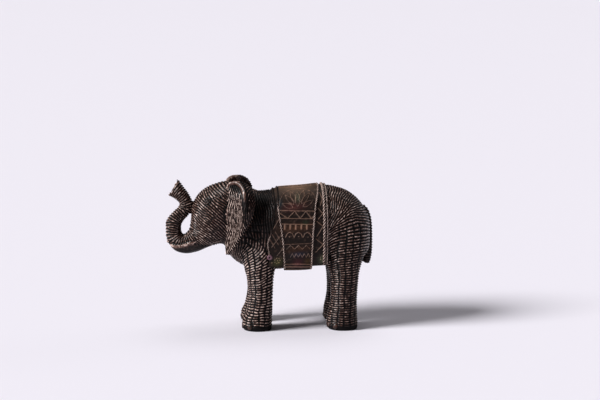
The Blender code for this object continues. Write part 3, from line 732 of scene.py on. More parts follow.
# Painted light on the ears' backs, which lie in shade
crest[at_back] = BACK_LEAST + BACK_SHARE * crest[at_back]
# Painted shadow of the ear over the neck and down onto the shoulders
body_x, _, body_z = share_place[on_body].T
crest[on_body] *= 1 - NECK_SHADE * (1 - smooth_step(body_x, *NECK_ALONG)) * smooth_step(body_z, *NECK_HEIGHTS)
# Painted light: the front legs are left brighter
crest[points_of("front_legs")] *= FORELEG_SHARE
# Painted shade on the ear margins, which turn away from the light
crest[points_of("ear_margins")] *= MARGIN_SHARE
# Rubbed wear and a painted highlight along the rim of each ear's arch
near_rim = np.exp(-(from_ear_rim(share_place) / RIM_REACH) ** 4)
near_rim *= smooth_step(share_place[:, 2], *RIM_SMOOTH_HEIGHTS)
crest = crest * (1 - near_rim) + RIM_BARE_AND_LIT * near_rim
at_lip = points_of("lip")
lip_place = share_place[at_lip]
from_rim = np.min([np.linalg.norm(lip_place - np.array(point), axis=1) for point in lip_edge], axis=0)
# Painted light on the lip, brighter towards its top
crest[at_lip] = LIP_LOW + LIP_RISE * smooth_step(lip_place[:, 2], *LIP_HEIGHTS)
# Rubbed wear and a painted highlight along the lip's rim
crest[at_lip] += LIP_RIM * np.exp(-(from_rim / LIP_RIM_REACH) ** 2)
face_place = share_place[quads].mean(1)


def linear(hex_colour):
    """An sRGB hex colour as linear red, green, blue and alpha."""
    parts = [int(hex_colour[i:i + 2], 16) / 255 for i in (1, 3, 5)]
    return [p / 12.92 if p <= 0.04045 else ((p + 0.055) / 1.055) ** 2.4 for p in parts] + [1.0]


def ramp(node, stops):
    """Sets a colour ramp's stops: place and sRGB hex colour."""
    band = node.color_ramp
    while len(band.elements) < len(stops):
        band.elements.new(0.5)
    for element, (place, colour) in zip(band.elements, stops):
        element.position = place
        element.color = linear(colour)


def new_material(name, **values):
    material = bpy.data.materials.new(name)
    material.use_nodes = True
    shader = material.node_tree.nodes["Principled BSDF"]
    for socket, value in values.items():
        shader.inputs[socket.replace("_", " ")].default_value = value
    return material, material.node_tree, shader


# Stained, waxed carving: a near-black stain left in the grooves, rubbed off the ribs' tops to a coppery
# brown, and a near-white painted highlight on the highest tops, broken up by blotches
stained, tree, shader = new_material("stained_rubbed_wood", Coat_Roughness=0.28, Specular_IOR_Level=0.12)
# The crest mark holds the ribs' height with the painted shade and painted light given to each part
height_mark = add_node(tree, "ShaderNodeAttribute", out="Fac", attribute_name="crest")
spot = add_node(tree, "ShaderNodeTexCoord", out="Object")
blotch = add_node(tree, "ShaderNodeTexNoise",
                  {"Vector": spot, "Scale": 420.0, "Detail": 3.0, "Roughness": 0.6})
# How far each place is rubbed and lit: rubbed wear together with painted shade, painted light and painted
# highlight
rubbed = maths(tree, "MULTIPLY_ADD", blotch, 0.5, maths(tree, "MULTIPLY", height_mark, 0.64))
tone = add_node(tree, "ShaderNodeValToRGB", {0: rubbed})
# The last stop is a painted highlight; the stops below it are stain and rubbed wood
ramp(tone.node, [(0.42, "#050303"), (0.68, "#150e0c"), (0.84, "#50342a"), (0.97, "#dcc2b6")])
tree.links.new(tone, shader.inputs["Base Color"])
for socket, start, dull, polished in (("Coat Weight", 0.5, 0.0, 0.6), ("Roughness", 0.4, 0.62, 0.34)):
    tree.links.new(mapped(tree, rubbed, start, 0.95, dull, polished, "LINEAR"), shader.inputs[socket])


def in_frame(piece):
    """Lets a piece ride on the one body, in place of the one solid."""
    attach(piece, "root")
    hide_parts("elephant")


def part_of_carving(name, chosen, material):
    """The chosen faces of the carved skin as a piece of its own."""
    kept, corners = np.unique(quads[chosen], return_inverse=True)
    mesh = bpy.data.meshes.new(name)
    mesh.vertices.add(len(kept))
    mesh.loops.add(corners.size)
    mesh.polygons.add(corners.size // 4)
    mesh.vertices.foreach_set("co", carved_place[kept].astype(np.float32).ravel())
    mesh.loops.foreach_set("vertex_index", corners.ravel().astype(np.int32))
    mesh.polygons.foreach_set("loop_start", np.arange(0, corners.size, 4, dtype=np.int32))
    mesh.update(calc_edges=True)
    store(mesh, "crest", crest[kept])
    mesh.materials.append(material)
    mesh.normals_split_custom_set_from_vertices(carved_normal[kept].astype(np.float32))
    in_frame(object_of(name, mesh))


covered = of_region("barrel", "front_legs", "hind_legs") & (face_place[:, 2] > max(CLOTH_HEMS) + UNDER_CLOTH)
covered &= face_place[:, 0] > np.interp(face_place[:, 2], *zip(*CLOTH_FRONT_EDGE)) + UNDER_CLOTH
covered &= face_place[:, 0] < CLOTH_REAR_EDGE[0][1] - UNDER_CLOTH
fore = face_place[:, 0] < 20
parts = {
    "carved_head_and_trunk": of_region("head", "lip"),
    "carved_ears": of_region("ears", "ear_margins", "ear_backs", "ear_rims"),
    "carved_shoulders": of_region("barrel") & fore & ~covered,
    "carved_rump": of_region("barrel", "tail") & ~fore & ~covered,
    "carved_front_legs": of_region("front_legs") & ~covered,
    "carved_hind_legs": of_region("hind_legs") & ~covered,
}
for name, chosen in parts.items():
    part_of_carving(name, chosen, stained)

# Saddle cloth
# A wide cloth over the back and a narrower runner on it, cut in the same wood: raised faces on the barrel
# that fall straight below its widest part. The pattern is worked on them laid flat, in 145ths, x along the
# body and the way down from the ridge, and then they are hung.
HANGING = 5
CLOTH_RISE, RUNNER_RISE, ROOT = 1.1 * MM, 2.1 * MM, 1.6 * MM
RUNNER_FRONT_EDGE = [(62, 13.8), (86, 12.2), (100, 10.4), (118, 7.6), (142, 8.3)]
RUNNER_REAR_EDGE = [(62, 40.5), (98, 42), (110, 43.2), (121, 44.7), (134, 48.2), (142, 49.6)]
RUNNER_HEMS = (60.8, 60.8)
CLOTH_GRAIN, MIDWAY, LOWEST_HEM, OUTLINE_STEPS, HEM_CROWDING = 0.45 * MM, 90, 60, 300, 2.5
barrel_rows = smooth_through(BARREL_STATIONS)


def section_at(x, angle):
    """The hung outline of the barrel at x: distance from the middle plane and height, in 145ths."""
    back, belly, half = (np.interp(x, barrel_rows[:, 0], barrel_rows[:, k]) for k in (1, 2, 3))
    power = np.where(angle > 0, BACK_SQUARENESS, HANGING)
    across = np.abs(np.cos(angle)) ** (2 / power)
    up = np.sign(angle) * np.abs(np.sin(angle)) ** (2 / power)
    return half * across, (back + belly) / 2 + (back - belly) / 2 * up


def outline_down(x, hem):
    """Angles, heights and lengths along the hung outline at x, from the hem to the ridge."""
    back, belly = (np.interp(x, barrel_rows[:, 0], barrel_rows[:, k]) for k in (1, 2))
    level = (hem - (back + belly) / 2) / ((back - belly) / 2)
    low = -math.asin(min(1.0, abs(level) ** (HANGING / 2)))
    t = np.linspace(0, 1, OUTLINE_STEPS)
    angles = np.concatenate([low * (1 - t) ** HEM_CROWDING, math.pi / 2 * t[1:]])
    y, z = section_at(x, angles)
    length = np.concatenate([[0], np.cumsum(np.hypot(np.diff(y), np.diff(z)))])
    return angles, z, length


def place_at(edge, height):
    return np.interp(height, *zip(*edge))


def hang(front_edge, rear_edge, hems, columns, rows, rise):
    """Places of a hung grid from hem over ridge to hem, the ways outward, and the same grid laid flat."""
    half_place, half_flat = np.empty((rows, columns, 3)), np.empty((rows, columns, 3))
    for c, share in enumerate(np.linspace(0, 1, columns)):
        hem = hems[0] + (hems[1] - hems[0]) * share
        guess = place_at(front_edge, MIDWAY) * (1 - share) + place_at(rear_edge, MIDWAY) * share
        angles, z, length = outline_down(guess, hem)
        steps = np.linspace(0, length[-1], rows)
        height = np.interp(steps, length, z)
        x = place_at(front_edge, height) * (1 - share) + place_at(rear_edge, height) * share
        y, z = section_at(x, np.interp(steps, length, angles))
        half_place[:, c] = np.stack([x, -y, z], 1)
        half_flat[:, c] = np.stack([x, steps - length[-1], 0 * x], 1)
    mirror = np.array([1, -1, 1])
    place = np.concatenate([half_place, half_place[-2::-1] * mirror]) * UNIT
    flat = np.concatenate([half_flat, half_flat[-2::-1] * mirror]) * UNIT
    if columns > 1:
        outward = np.cross(np.gradient(place, axis=1), np.gradient(place, axis=0))
    else:
        outward = np.cross(np.array([1.0, 0, 0]), np.gradient(place, axis=0))
    outward /= np.linalg.norm(outward, axis=2, keepdims=True)
    place[..., 0] += shift
    return place + outward * rise, outward, flat


def flat_cloth(name, front_edge, rear_edge, hems, rise):
    """The cloth laid flat, with where and which way to hang each point. Its border turns into the body."""
    width = (place_at(rear_edge, MIDWAY) - place_at(front_edge, MIDWAY)) * UNIT
    columns, rows = round(width / CLOTH_GRAIN), round(0.1 / CLOTH_GRAIN)
    place, outward, flat = hang(front_edge, rear_edge, hems, columns, rows, rise)
    rim = ((1, 1), (1, 1), (0, 0))
    drop = np.pad(np.zeros(place.shape[:2]), 1, constant_values=rise + ROOT)
    outward, flat = np.pad(outward, rim, "edge"), np.pad(flat, rim, "edge")
    place = np.pad(place, rim, "edge") - outward * drop[..., None]
    down, across = drop.shape
    index = np.arange(down * across).reshape(down, across)
    faces = np.stack([index[:-1, :-1], index[:-1, 1:], index[1:, 1:], index[1:, :-1]], 2).reshape(-1, 4)
    sheet = object_from(name, flat.reshape(-1, 3), [], faces)
    store(sheet.data, "hung", place, "FLOAT_VECTOR")
    store(sheet.data, "outward", outward, "FLOAT_VECTOR")
    store(sheet.data, "face_side", drop == 0)
    return sheet


def way_down(x, height):
    """How far down the cloth from the ridge a height is, in 145ths."""
    angles, z, length = outline_down(x, LOWEST_HEM)
    return length[-1] - np.interp(height, z, length)


def drawn(name, lines):
    """Lines of the pattern as edges on the flat cloth, both on the near and on the far side."""
    points, edges = [], []
    for line in lines:
        for side in (-1, 1):
            for k, (x, down) in enumerate(line):
                points.append((x * UNIT, side * down * UNIT, 0))
                if k:
                    edges.append((len(points) - 2, len(points) - 1))
    return object_from(name, points, edges)


def by_height(*points, parts=6):
    """A line through places given by x and height, as places given by x and the way down."""
    line = []
    for (x, z), (next_x, next_z) in zip(points, points[1:]):
        for t in np.arange(parts) / parts:
            line.append((x + (next_x - x) * t, way_down(x + (next_x - x) * t, z + (next_z - z) * t)))
    return line + [(points[-1][0], way_down(*points[-1]))]


def zigzag(front, rear, low, high, peaks):
    count = 2 * peaks
    return [(front + (rear - front) * i / count, high if i % 2 else low) for i in range(count + 1)]


def petal(root, tip, half_width, steps=8):
    """The outline of a pointed leaf, by x and the way down."""
    root, tip = np.array(root), np.array(tip)
    along = tip - root
    across = np.array([-along[1], along[0]]) / np.hypot(*along) * half_width
    t = np.linspace(0, 1, steps)
    bow = np.sin(np.pi * t ** 0.8)
    one = [tuple(root + along * a + across * b) for a, b in zip(t, bow)]
    other = [tuple(root + along * a - across * b) for a, b in zip(t, bow)]
    return [one, other]


def dot(x, down):
    """A stroke so short that its ridge is a dot."""
    return [(x, down), (x + 0.1, down)]


def ring_of_dots(x, height, radius, count):
    down = way_down(x, height)
    return [dot(x + radius * math.cos(t), down + radius * math.sin(t)) for t in round_steps(count)]


# The lotus under its arc, by x and the way down. Then lines by x and height: thin ones, with crossed lines
# beside the runner, bold ones, with scallops and arrows, and dots
LOTUS_X, LOTUS_ROOT, LOTUS_MIDDLE, PETAL_FROM, PETAL_HALVES = 27.3, 37.0, (34, 17), 0.32, (2.3, 2.2)
LOTUS_TIPS = [(12.6, 29.5), (15.8, 20.5), (20.8, 15.5), (33.8, 15.5), (38.8, 20.5), (42.0, 29.5)]
ARC_DOWN, ARC_HALF, ARC_HEIGHT = 33, 17.4, 21.5
THIN_LINES = [
    [(14.6, 85.3), (39.6, 86.6)], zigzag(16.5, 38.5, 81, 84.6, 3), zigzag(19.8, 38.6, 73.4, 76.8, 5),
    [(12.2, 95.6), (2.2, 82.3)], [(13.9, 82.6), (7.2, 74.3)], [(9.8, 110), (3.8, 100)],
    [(2.6, 94.8), (8.6, 84.6)], [(5.6, 97.5), (11.4, 87.5)], [(0.6, 90), (5.4, 81.4)],
]
BOLD_LINES = [
    [(9.8, 116), (42.4, 116)], [(11.0, 109.4), (41.6, 109.4)],
    [(10.6, 113.6), (17.4, 109.5), (24.2, 115.8), (29.2, 109.5), (34.6, 115.8), (39.9, 109.5), (42, 112)],
    [(11.6, 104.4), (41.2, 104.4)], [(15, 67), (39.5, 67)], [(15.5, 62.2), (39.5, 62.2)],
]
SCALLOP, SCALLOPS_AT = ((-4.0, 92.4), (-2.4, 95.8), (0, 97.2), (2.4, 95.8), (4.0, 92.4)), (19.3, 27.4, 35.8)
ARROW_TIP_X, ARROWS = 50.6, ((126.5, 5, 5.5), (114.2, 4.5, 5.2), (102.6, 4.4, 9.6), (85, 6, 7))
DOTS_AT = [(19.0, 92.7), (27.5, 93.2), (36.4, 92.6), (2.5, 67.6), (26.9, 64.4), (33, 64.4), (38.8, 65),
           (20.6, 64.4)]
ROSETTES = ((7.6, 69.6, 2.5), (50.6, 72.2, 2.3))
thin, bold = ([by_height(*line) for line in lines] for lines in (THIN_LINES, BOLD_LINES))
bold += [by_height(*((x + ahead, height) for ahead, height in SCALLOP)) for x in SCALLOPS_AT]
for apex, rise, fall in ARROWS:
    front = place_at(RUNNER_REAR_EDGE, apex) + 2.2
    bold.append(by_height((front, apex + rise), (ARROW_TIP_X, apex), (front, apex - fall)))
thin += petal(*((LOTUS_X, down) for down in LOTUS_MIDDLE), PETAL_HALVES[0])
for tip in LOTUS_TIPS:
    root = (1 - PETAL_FROM) * np.array((LOTUS_X, LOTUS_ROOT)) + PETAL_FROM * np.array(tip)
    thin += petal(root, tip, PETAL_HALVES[1])
thin.append([(LOTUS_X + ARC_HALF * math.cos(t), ARC_DOWN - ARC_HEIGHT * math.sin(t))
             for t in np.linspace(0.05, 3.09, 24)])
thin.append([(x, 6.0) for x in np.linspace(10.5, 46.5, 20)])
broad = [by_height((x, 103.4), (x, 100.2)) for x in np.arange(14.6, 40, 5.2)]
broad.append(by_height((15.4, 64.6), (39.3, 64.6)))
dots = [by_height((x, height), (x + 0.1, height)) for x, height in DOTS_AT]
for x, height, radius in ROSETTES:
    dots += ring_of_dots(x, height, radius, 7) + ring_of_dots(x, height, 0.2, 1)
dots += [dot(x, 2.6) for x in np.arange(12, 46, 4.2)]
STROKES = {"Thin": (thin, 1.0 * MM, 0.45 * MM), "Bold": (bold, 1.2 * MM, 0.6 * MM),
           "Broad": (broad, 3.0 * MM, 0.55 * MM), "Dots": (dots, 1.7 * MM, 0.65 * MM)}


def to_edges(tree, geometry):
    """How far each point is from the nearest edge of the geometry."""
    return add_node(tree, "GeometryNodeProximity", {"Geometry": geometry}, "Distance", target_element="EDGES")


# Raises rounded ridges along the drawn lines, roughens the ground between them, and hangs the cloth
OF_A_STROKE = {"_Lines": "Object", "_Width": "Float", "_Relief": "Float"}
work_cloth, given = new_tree(
    "work_and_hang_cloth", **{name + part: kind for name in STROKES for part, kind in OF_A_STROKE.items()},
    Roughness="Float", Grain_Size="Float", Material="Material")
relief = 0.0
for name in STROKES:
    lines = add_node(work_cloth, "GeometryNodeObjectInfo", {"Object": given[name + " Lines"]}, "Geometry")
    near = to_edges(work_cloth, lines)
    reach = maths(work_cloth, "MULTIPLY", given[name + " Width"], 0.5)
    relief = maths(work_cloth, "MAXIMUM", relief,
                   mapped(work_cloth, near, 0.0, reach, given[name + " Relief"], 0.0))
grains = maths(work_cloth, "DIVIDE", 1.0, given["Grain Size"])
chips = add_node(work_cloth, "ShaderNodeTexNoise", {"Scale": grains, "Detail": 3.0, "Roughness": 0.6})
rough_ground = maths(work_cloth, "MULTIPLY_ADD", chips, given["Roughness"], relief)
lift = maths(work_cloth, "MULTIPLY", rough_ground, marked(work_cloth, "face_side", "FLOAT"))
laid_flat = add_node(work_cloth, "GeometryNodeInputPosition")
worked = noted(work_cloth, given["Geometry"], "crest", lift)
worked = noted(work_cloth, worked, "laid_flat", laid_flat, "FLOAT_VECTOR")
hung = marked(work_cloth, "hung")
deliver(work_cloth, raised(work_cloth, worked, marked(work_cloth, "outward"), lift, Position=hung), given)

# Stained cloth carving: the same dark stain, with what is left of thin earth colours on the raised work, and
# painted light on the top
dyed, tree, shader = new_material("stained_carved_cloth", Roughness=0.5, Specular_IOR_Level=0.12)
height_mark = add_node(tree, "ShaderNodeAttribute", out="Fac", attribute_name="crest")
dye_and_top_light = add_node(tree, "ShaderNodeAttribute", out="Color", attribute_name="dye_and_top_light")
spot = add_node(tree, "ShaderNodeTexCoord", out="Object")
blotch = add_node(tree, "ShaderNodeTexNoise", {"Vector": spot, "Scale": 300.0, "Detail": 4.0})
share = maths(tree, "MULTIPLY_ADD", height_mark, 1 / (0.75 * MM), blotch)
ground, worn = (add_node(tree, "ShaderNodeMix", {"Factor": factor, "A": dye_and_top_light, "B": linear(colour)}, 2,
                         data_type="RGBA") for factor, colour in ((0.8, "#060404"), (0.55, "#86695a")))
tone = add_node(tree, "ShaderNodeMix", {"Factor": mapped(tree, share, 0.65, 1.4), "A": ground, "B": worn}, 2,
                data_type="RGBA")
tree.links.new(tone, shader.inputs["Base Color"])

# Where the colours are: place x, way down, half size each way, colour. The first, a light brown over the
# ridge, is partly the cloth's own colour and partly painted light on its top
PLAIN_DYE, DYE_LEFT = "#33241e", 0.85
DYES_AND_TOP_LIGHT = [(26, 6, 17, 13, "#d8ab8c"), (27.3, 25, 2.4, 7, "#6c705a"), (9.6, 29, 2.4, 5, "#2c5560"),
        (23.5, 34, 10, 4, "#7d4240"), (33.7, 50, 3, 2.5, "#2c5038"), (26, 53.5, 16, 3.6, "#7c5238"),
        (27, 78, 6, 3, "#29405f"), (27, 86.5, 5, 4, "#7b3a42"), (36, 86, 3, 3, "#7a5526"),
        (7.6, 84.5, 4.5, 4, "#85834c"), (50.6, 87, 4, 4, "#93a07c"), (28, 74, 12, 3, "#6a432c")]


def colour_cloth(mesh):
    """Gives each point of a worked cloth the colour that is left on it, and the painted light on its top."""
    flat = stored(mesh, "laid_flat", 3) / UNIT
    colour = np.tile(linear(PLAIN_DYE), (len(flat), 1))
    for x, down, half_x, half_down, tint in DYES_AND_TOP_LIGHT:
        away = ((flat[:, 0] - x) / half_x) ** 2 + ((abs(flat[:, 1]) - down) / half_down) ** 2
        share = DYE_LEFT * np.exp(-away)[:, None]
        colour = colour * (1 - share) + np.array(linear(tint)) * share
    made = mesh.attributes.new("dye_and_top_light", "FLOAT_COLOR", "POINT")
    made.data.foreach_set("color", colour.astype(np.float32).ravel())


drawn_lines = {name: drawn("lines_" + name.lower(), lines) for name, (lines, _, _) in STROKES.items()}
for name, edges, hems, rise in (("saddle_cloth", (CLOTH_FRONT_EDGE, CLOTH_REAR_EDGE), CLOTH_HEMS, CLOTH_RISE),
                                ("runner", (RUNNER_FRONT_EDGE, RUNNER_REAR_EDGE), RUNNER_HEMS, RUNNER_RISE)):
    sheet = flat_cloth(name, *edges, hems, rise)
    values = {}
    for group, (lines, width, depth) in STROKES.items():
        values |= {group + "_Lines": drawn_lines[group], group + "_Width": width, group + "_Relief": depth}
    sheet.data = grown_mesh(sheet, work_cloth, **values, Roughness=0.25 * MM, Grain_Size=1.2 * MM,
                            Material=dyed)
    colour_cloth(sheet.data)
    in_frame(sheet)
for lines in drawn_lines.values():
    bpy.data.objects.remove(lines)

# Ropes
# Twisted ropes laid over the back: along both edges of the runner, a thick one and a thin one near the rear
# edge of the cloth, and a thin cord on its front edge.
ROPE, THIN_ROPE, CORD, EDGE_CORD = 2.6 * MM, 1.6 * MM, 1.4 * MM, 1.2 * MM
STRAND_CENTRES, STRAND_RADIUS, STRAND_SIDES, STEPS_A_DIAMETER = 0.26, 0.24, 7, 4
# The strands' outer sides get rubbed wear and a painted highlight; their inner sides stay dark
ROPE_POINTS, OUTER_BARE_AND_LIT, INNER_BARE, FADED = 160, 1.35, -0.15, 0.5

# Twists strands along a path, each point brighter the further it is from the middle: rubbed wear with a
# painted highlight on the strands' tops
twist, given = new_tree("twist_rope", Diameter="Float", Lay="Float", Strands="Int", Step="Float",
                        Material="Material")
path = add_node(twist, "GeometryNodeMeshToCurve", {"Mesh": given["Geometry"]})
even = add_node(twist, "GeometryNodeResampleCurve", {"Curve": path, "Length": given["Step"]}, mode="LENGTH")
turns = maths(twist, "DIVIDE", add_node(twist, "GeometryNodeSplineParameter", out="Length"), given["Lay"])
angle = maths(twist, "MULTIPLY", turns, 2 * math.pi)
turned_path = add_node(twist, "GeometryNodeSetCurveTilt", {"Curve": even, "Tilt": angle})
to_centres, strand_radius, half = (maths(twist, "MULTIPLY", given["Diameter"], share)
                                   for share in (STRAND_CENTRES, STRAND_RADIUS, 0.5))
centres = add_node(twist, "GeometryNodeMeshCircle", {"Vertices": given["Strands"], "Radius": to_centres})
strand = add_node(twist, "GeometryNodeCurvePrimitiveCircle",
                  {"Resolution": STRAND_SIDES, "Radius": strand_radius})
lobes = add_node(twist, "GeometryNodeInstanceOnPoints", {"Points": centres, "Instance": strand})
lobed = add_node(twist, "GeometryNodeRealizeInstances", {0: lobes})
laid = add_node(twist, "GeometryNodeCurveToMesh",
                {"Curve": turned_path, "Profile Curve": lobed, "Fill Caps": True})
axis = add_node(twist, "GeometryNodeCurveToMesh", {"Curve": even})
outer = mapped(twist, to_edges(twist, axis), to_centres, half, kind="LINEAR")
# Painted highlight with rubbed wear: the strands' outer sides are left brightest
bright = maths(twist, "MULTIPLY_ADD", outer, OUTER_BARE_AND_LIT, INNER_BARE)
deliver(twist, noted(twist, laid, "crest", bright), given)


def moved(edge, by):
    return [(height, x + by) for height, x in edge]


def lay_rope(name, edge, hem, rise, diameter, lay, strands, brightest_below=(200, 210)):
    """A rope over the back, bright on its strands' tops with rubbed wear and a painted highlight, but less so
    above the heights that are given.
    """
    place, _, _ = hang(edge, edge, (hem, hem), 1, ROPE_POINTS, rise)
    rope = object_from(name, place.reshape(-1, 3), [(i, i + 1) for i in range(len(place) - 1)])
    rope.data = grown_mesh(rope, twist, Diameter=diameter, Lay=lay, Strands=strands,
                           Step=diameter / STEPS_A_DIAMETER, Material=stained)
    faded = 1 - FADED * smooth_step(places(rope.data)[:, 2] / UNIT, *brightest_below)
    bright_top = stored(rope.data, "crest", 1) * faded
    rope.data.attributes["crest"].data.foreach_set("value", bright_top.astype(np.float32))
    in_frame(rope)


REAR_ROPE, REAR_CORD = [(0, 51.9), (142, 51.9)], [(0, 54.7), (142, 54.7)]
lay_rope("runner_front_rope", moved(RUNNER_FRONT_EDGE, 0.8), 62.4, RUNNER_RISE, THIN_ROPE, 8 * MM, 3,
         (118, 130))
lay_rope("runner_rear_rope", moved(RUNNER_REAR_EDGE, -0.8), 62.4, RUNNER_RISE, THIN_ROPE, 8 * MM, 3)
lay_rope("rear_rope", REAR_ROPE, 66, CLOTH_RISE + ROPE / 6, ROPE, 9 * MM, 3)
lay_rope("rear_cord", REAR_CORD, 66, CLOTH_RISE + CORD / 6, CORD, 7 * MM, 3)
lay_rope("front_cord", moved(CLOTH_FRONT_EDGE, 0.8), 74, CLOTH_RISE + EDGE_CORD / 6, EDGE_CORD, 6 * MM, 3,
         (92, 102))

# Bead
# A ring-shaped bead in dull mauve, sewn on at the front corner of the cloth.
BEAD_PLACE, BEAD_DIAMETER, BEAD_THICKNESS, BEAD_SIDES = (0.2, 72.6), 5.2 * MM, 1.9 * MM, 28

# Sets copies of a piece on given points, turned as each point says
set_on, given = new_tree("set_on_surface", Piece="Object", Material="Material")
piece = add_node(set_on, "GeometryNodeObjectInfo", {"Object": given["Piece"], "As Instance": True},
                 "Geometry")
turn = add_node(set_on, "FunctionNodeAxesToRotation",
                {0: marked(set_on, "facing"), 1: marked(set_on, "along")},
                primary_axis="Z", secondary_axis="X")
deliver(set_on, add_node(set_on, "GeometryNodeInstanceOnPoints", {
    "Points": given["Geometry"], "Instance": piece, "Rotation": turn}), given)


def set_pieces(name, shape, spots, material):
    """Copies of a shape as one piece. A spot is its place, the way it faces, and the way its x axis lies."""
    pattern = object_of(name + "_pattern", shape)
    thing = object_from(name, [spot[0] for spot in spots])
    store(thing.data, "facing", [spot[1] for spot in spots], "FLOAT_VECTOR")
    store(thing.data, "along", [spot[2] for spot in spots], "FLOAT_VECTOR")
    thing.data = grown_mesh(thing, set_on, Piece=pattern, Material=material)
    bpy.data.objects.remove(pattern)
    in_frame(thing)


def on_cloth(x, height, side, rise):
    """Place and outward direction of a spot on the hung cloth."""
    angles, z, _ = outline_down(x, LOWEST_HEM)
    at = np.interp(height, z, angles) + np.array([-0.02, 0, 0.02])
    y, z = section_at(x, at)
    outward = Vector((0, side * (z[2] - z[0]), y[0] - y[2])).normalized()
    return Vector((x * UNIT + shift, side * y[1] * UNIT, z[1] * UNIT)) + outward * rise, outward


def add_closed_tube(shape, path, radius, sides):
    """Adds a round tube along a closed path that lies nearly flat."""
    rows = []
    for i, point in enumerate(path):
        ahead = (path[(i + 1) % len(path)] - path[i - 1]).normalized()
        across = ahead.cross(Vector((0, 0, 1))).normalized()
        up = across.cross(ahead)
        rows.append([shape.verts.new(point + radius * (across * math.cos(b) + up * math.sin(b)))
                     for b in round_steps(sides)])
    for near, far in zip(rows, rows[1:] + rows[:1]):
        for k in range(sides):
            shape.faces.new((near[k], near[(k + 1) % sides], far[(k + 1) % sides], far[k]))


def smooth_mesh(name, shape, crests=None):
    """The shape as a smooth mesh, with how far the stain is rubbed off at each of its points."""
    bmesh.ops.recalc_face_normals(shape, faces=shape.faces)
    for face in shape.faces:
        face.smooth = True
    mesh = bpy.data.meshes.new(name)
    shape.to_mesh(mesh)
    shape.free()
    if crests:
        store(mesh, "crest", crests)
    return mesh


# Mauve bead: a wooden ring with worn dull pink-violet paint
mauve, tree, shader = new_material("worn_mauve_paint", Base_Color=linear("#664550"), Roughness=0.5)
spots = []
for side in (-1, 1):
    place, outward = on_cloth(*BEAD_PLACE, side, CLOTH_RISE + 0.3 * MM)
    spots.append((place, outward, Vector((1, 0, 0))))
bead, bead_middle = bmesh.new(), (BEAD_DIAMETER - BEAD_THICKNESS) / 2
circle = [Vector((math.cos(a), math.sin(a), 0)) * bead_middle for a in round_steps(BEAD_SIDES)]
add_closed_tube(bead, circle, BEAD_THICKNESS / 2, 12)
set_pieces("front_beads", smooth_mesh("ring", bead), spots, mauve)

# Nails
# Four smooth rubbed nails on the front of every foot, cut with it and a little proud.
NAIL_HALF_SIZES = (2.5 * MM, 2.9 * MM, 1.3 * MM)
NAIL_ANGLES = [math.radians(a) for a in (-62, -22, 18, 58)]
NAIL_HEIGHT, NAIL_BARE = 4.6, 0.72


def add_dome(shape, half_sizes, sunk=0.0):
    for vert in bmesh.ops.create_uvsphere(shape, u_segments=20, v_segments=14, radius=1)["verts"]:
        vert.co = Vector([vert.co[k] * half_sizes[k] for k in range(3)]) - Vector((0, 0, sunk))


spots = []
for stations in (FRONT_LEG_STATIONS, HIND_LEG_STATIONS):
    rows = smooth_through(stations)
    front, back, half = (np.interp(NAIL_HEIGHT, rows[:18, 0], rows[:18, k]) for k in (1, 2, 3))
    middle, reach = (front + back) / 2, (back - front) / 2
    for side in (-1, 1):
        for a in NAIL_ANGLES:
            place = Vector((middle - reach * math.cos(a), side * (LEG_FROM_MIDDLE + half * math.sin(a)),
                            NAIL_HEIGHT))
            facing = Vector((-math.cos(a) / reach, side * math.sin(a) / half, 0.02)).normalized()
            spots.append((place * UNIT + Vector((shift, 0, 0)) - facing * 0.3 * MM, facing,
                          facing.cross(Vector((0, 0, 1)))))
nail = bmesh.new()
add_dome(nail, NAIL_HALF_SIZES)
set_pieces("nails", smooth_mesh("dome", nail, [NAIL_BARE] * len(nail.verts)), spots, stained)

# Eyes
# A small almond eye on each side of the head: a dark dome between two raised lids that slant up to the ear.
EYE_HALF_LENGTH, EYE_HALF_HEIGHT, LID_RADIUS, LID_STEPS = 3.0 * MM, 1.4 * MM, 0.55 * MM, 40
DOME_SHARE, DOME_HEIGHT, DOME_SUNK, LID_TOP, LID_DROP = 0.9, 1.1 * MM, 0.3 * MM, 0.35 * MM, 0.5 * MM
EYE_BARE, LID_BARE = 0.2, 0.75
EYE_LEAN = math.radians(38)
eye = bmesh.new()
add_dome(eye, (EYE_HALF_LENGTH * DOME_SHARE, EYE_HALF_HEIGHT, DOME_HEIGHT), DOME_SUNK)
crests = [EYE_BARE] * len(eye.verts)
lid = [Vector((EYE_HALF_LENGTH * math.cos(a),
               EYE_HALF_HEIGHT * math.copysign(abs(math.sin(a)) ** 1.3, math.sin(a)),
               LID_TOP - LID_DROP * math.cos(a) ** 2)) for a in round_steps(LID_STEPS)]
add_closed_tube(eye, lid, LID_RADIUS, 10)
crests += [LID_BARE] * (len(eye.verts) - len(crests))
spots = []
head_points = np.unique(quads[of_region("head")])
for side in (-1, 1):
    wanted = np.array([EYE[0] * UNIT + shift, side * EYE[1] * UNIT, EYE[2] * UNIT])
    away = np.linalg.norm(carved_place[head_points] - wanted, axis=1)
    close = head_points[away < away.min() + 2.5 * MM]
    facing = Vector(carved_normal[close].mean(0)).normalized()
    place = Vector(carved_place[head_points[away.argmin()]]) + facing * 0.2 * MM
    spots.append((place, facing, Vector((math.cos(EYE_LEAN), 0, math.sin(EYE_LEAN)))))
set_pieces("eyes", smooth_mesh("eye", eye, crests), spots, stained)

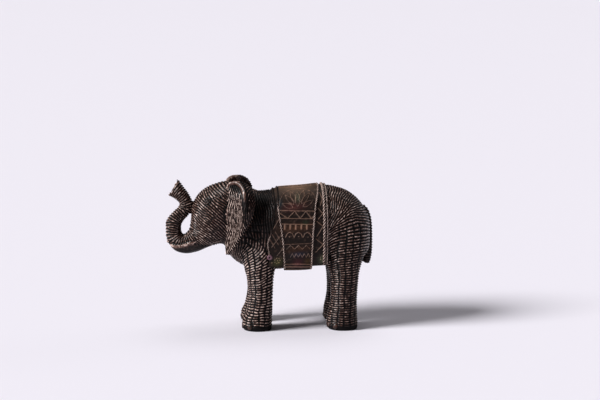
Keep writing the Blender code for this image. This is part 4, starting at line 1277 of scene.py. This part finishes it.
# Floor, light and camera
# A pale sweep of paper under soft lights, seen from the photograph's place.
PHOTO_WIDTH, PHOTO_HEIGHT = 600, 400
LENS_IN_PIXELS = 1443
CAMERA_DISTANCE, CAMERA_LIFT, CAMERA_TURN = 1.4, math.radians(10.5), math.radians(-2.9)
AIM_PIXEL = (269.5, 249)
HALF_FLOOR = 60.0
CORNERS = ((-1, -1), (1, -1), (1, 1), (-1, 1))
floor = object_from("floor", [(x * HALF_FLOOR, y * HALF_FLOOR, 0) for x, y in CORNERS], [], [(0, 1, 2, 3)])
paper, tree, shader = new_material("matt_paper", Roughness=0.9, Base_Color=linear("#ece8f1"))
floor.data.materials.append(paper)

world = bpy.data.worlds.new("studio")
bpy.context.scene.world = world
world.use_nodes = True
backdrop = world.node_tree.nodes["Background"]
backdrop.inputs["Color"].default_value = linear("#f0edf5")
seen = add_node(world.node_tree, "ShaderNodeLightPath", out="Is Camera Ray")
strength = mapped(world.node_tree, seen, 0.0, 1.0, 0.07, 1.0, "LINEAR")
world.node_tree.links.new(strength, backdrop.inputs["Strength"])


def soft_light(name, comes_from, strength, spread, colour="#ffffff"):
    """A wide light far off, so it falls evenly on all: where it comes from, and its spread in degrees."""
    lamp = bpy.data.lights.new(name, "SUN")
    lamp.energy = strength
    lamp.angle = math.radians(spread)
    lamp.color = linear(colour)[:3]
    thing = bpy.data.objects.new(name, lamp)
    bpy.context.scene.collection.objects.link(thing)
    thing.rotation_euler = Vector(comes_from).to_track_quat("Z", "Y").to_euler()
    return thing


soft_light("key", (-0.85, -0.27, 0.56), 4.8, 22)
soft_light("overhead", (0.1, 0.4, 1.0), 0.6, 40)
soft_light("rim", (0.9, 0.35, 0.25), 0.2, 20)

camera_data = bpy.data.cameras.new("camera")
camera_data.sensor_width = 36
camera_data.lens = LENS_IN_PIXELS * 36 / PHOTO_WIDTH
camera_data.clip_start = 0.05
camera = bpy.data.objects.new("camera", camera_data)
bpy.context.scene.collection.objects.link(camera)
bpy.context.scene.camera = camera
bpy.context.scene.view_settings.view_transform = "Standard"
aim = Vector((0, 0, 0.0746))
towards = Vector((math.sin(CAMERA_TURN) * math.cos(CAMERA_LIFT),
                  -math.cos(CAMERA_TURN) * math.cos(CAMERA_LIFT),
                  math.sin(CAMERA_LIFT)))
camera.location = aim + towards * CAMERA_DISTANCE
camera.rotation_euler = (-towards).to_track_quat("-Z", "Y").to_euler()
camera_data.shift_x = -(AIM_PIXEL[0] - PHOTO_WIDTH / 2) / PHOTO_WIDTH
camera_data.shift_y = (AIM_PIXEL[1] - PHOTO_HEIGHT / 2) / PHOTO_WIDTH
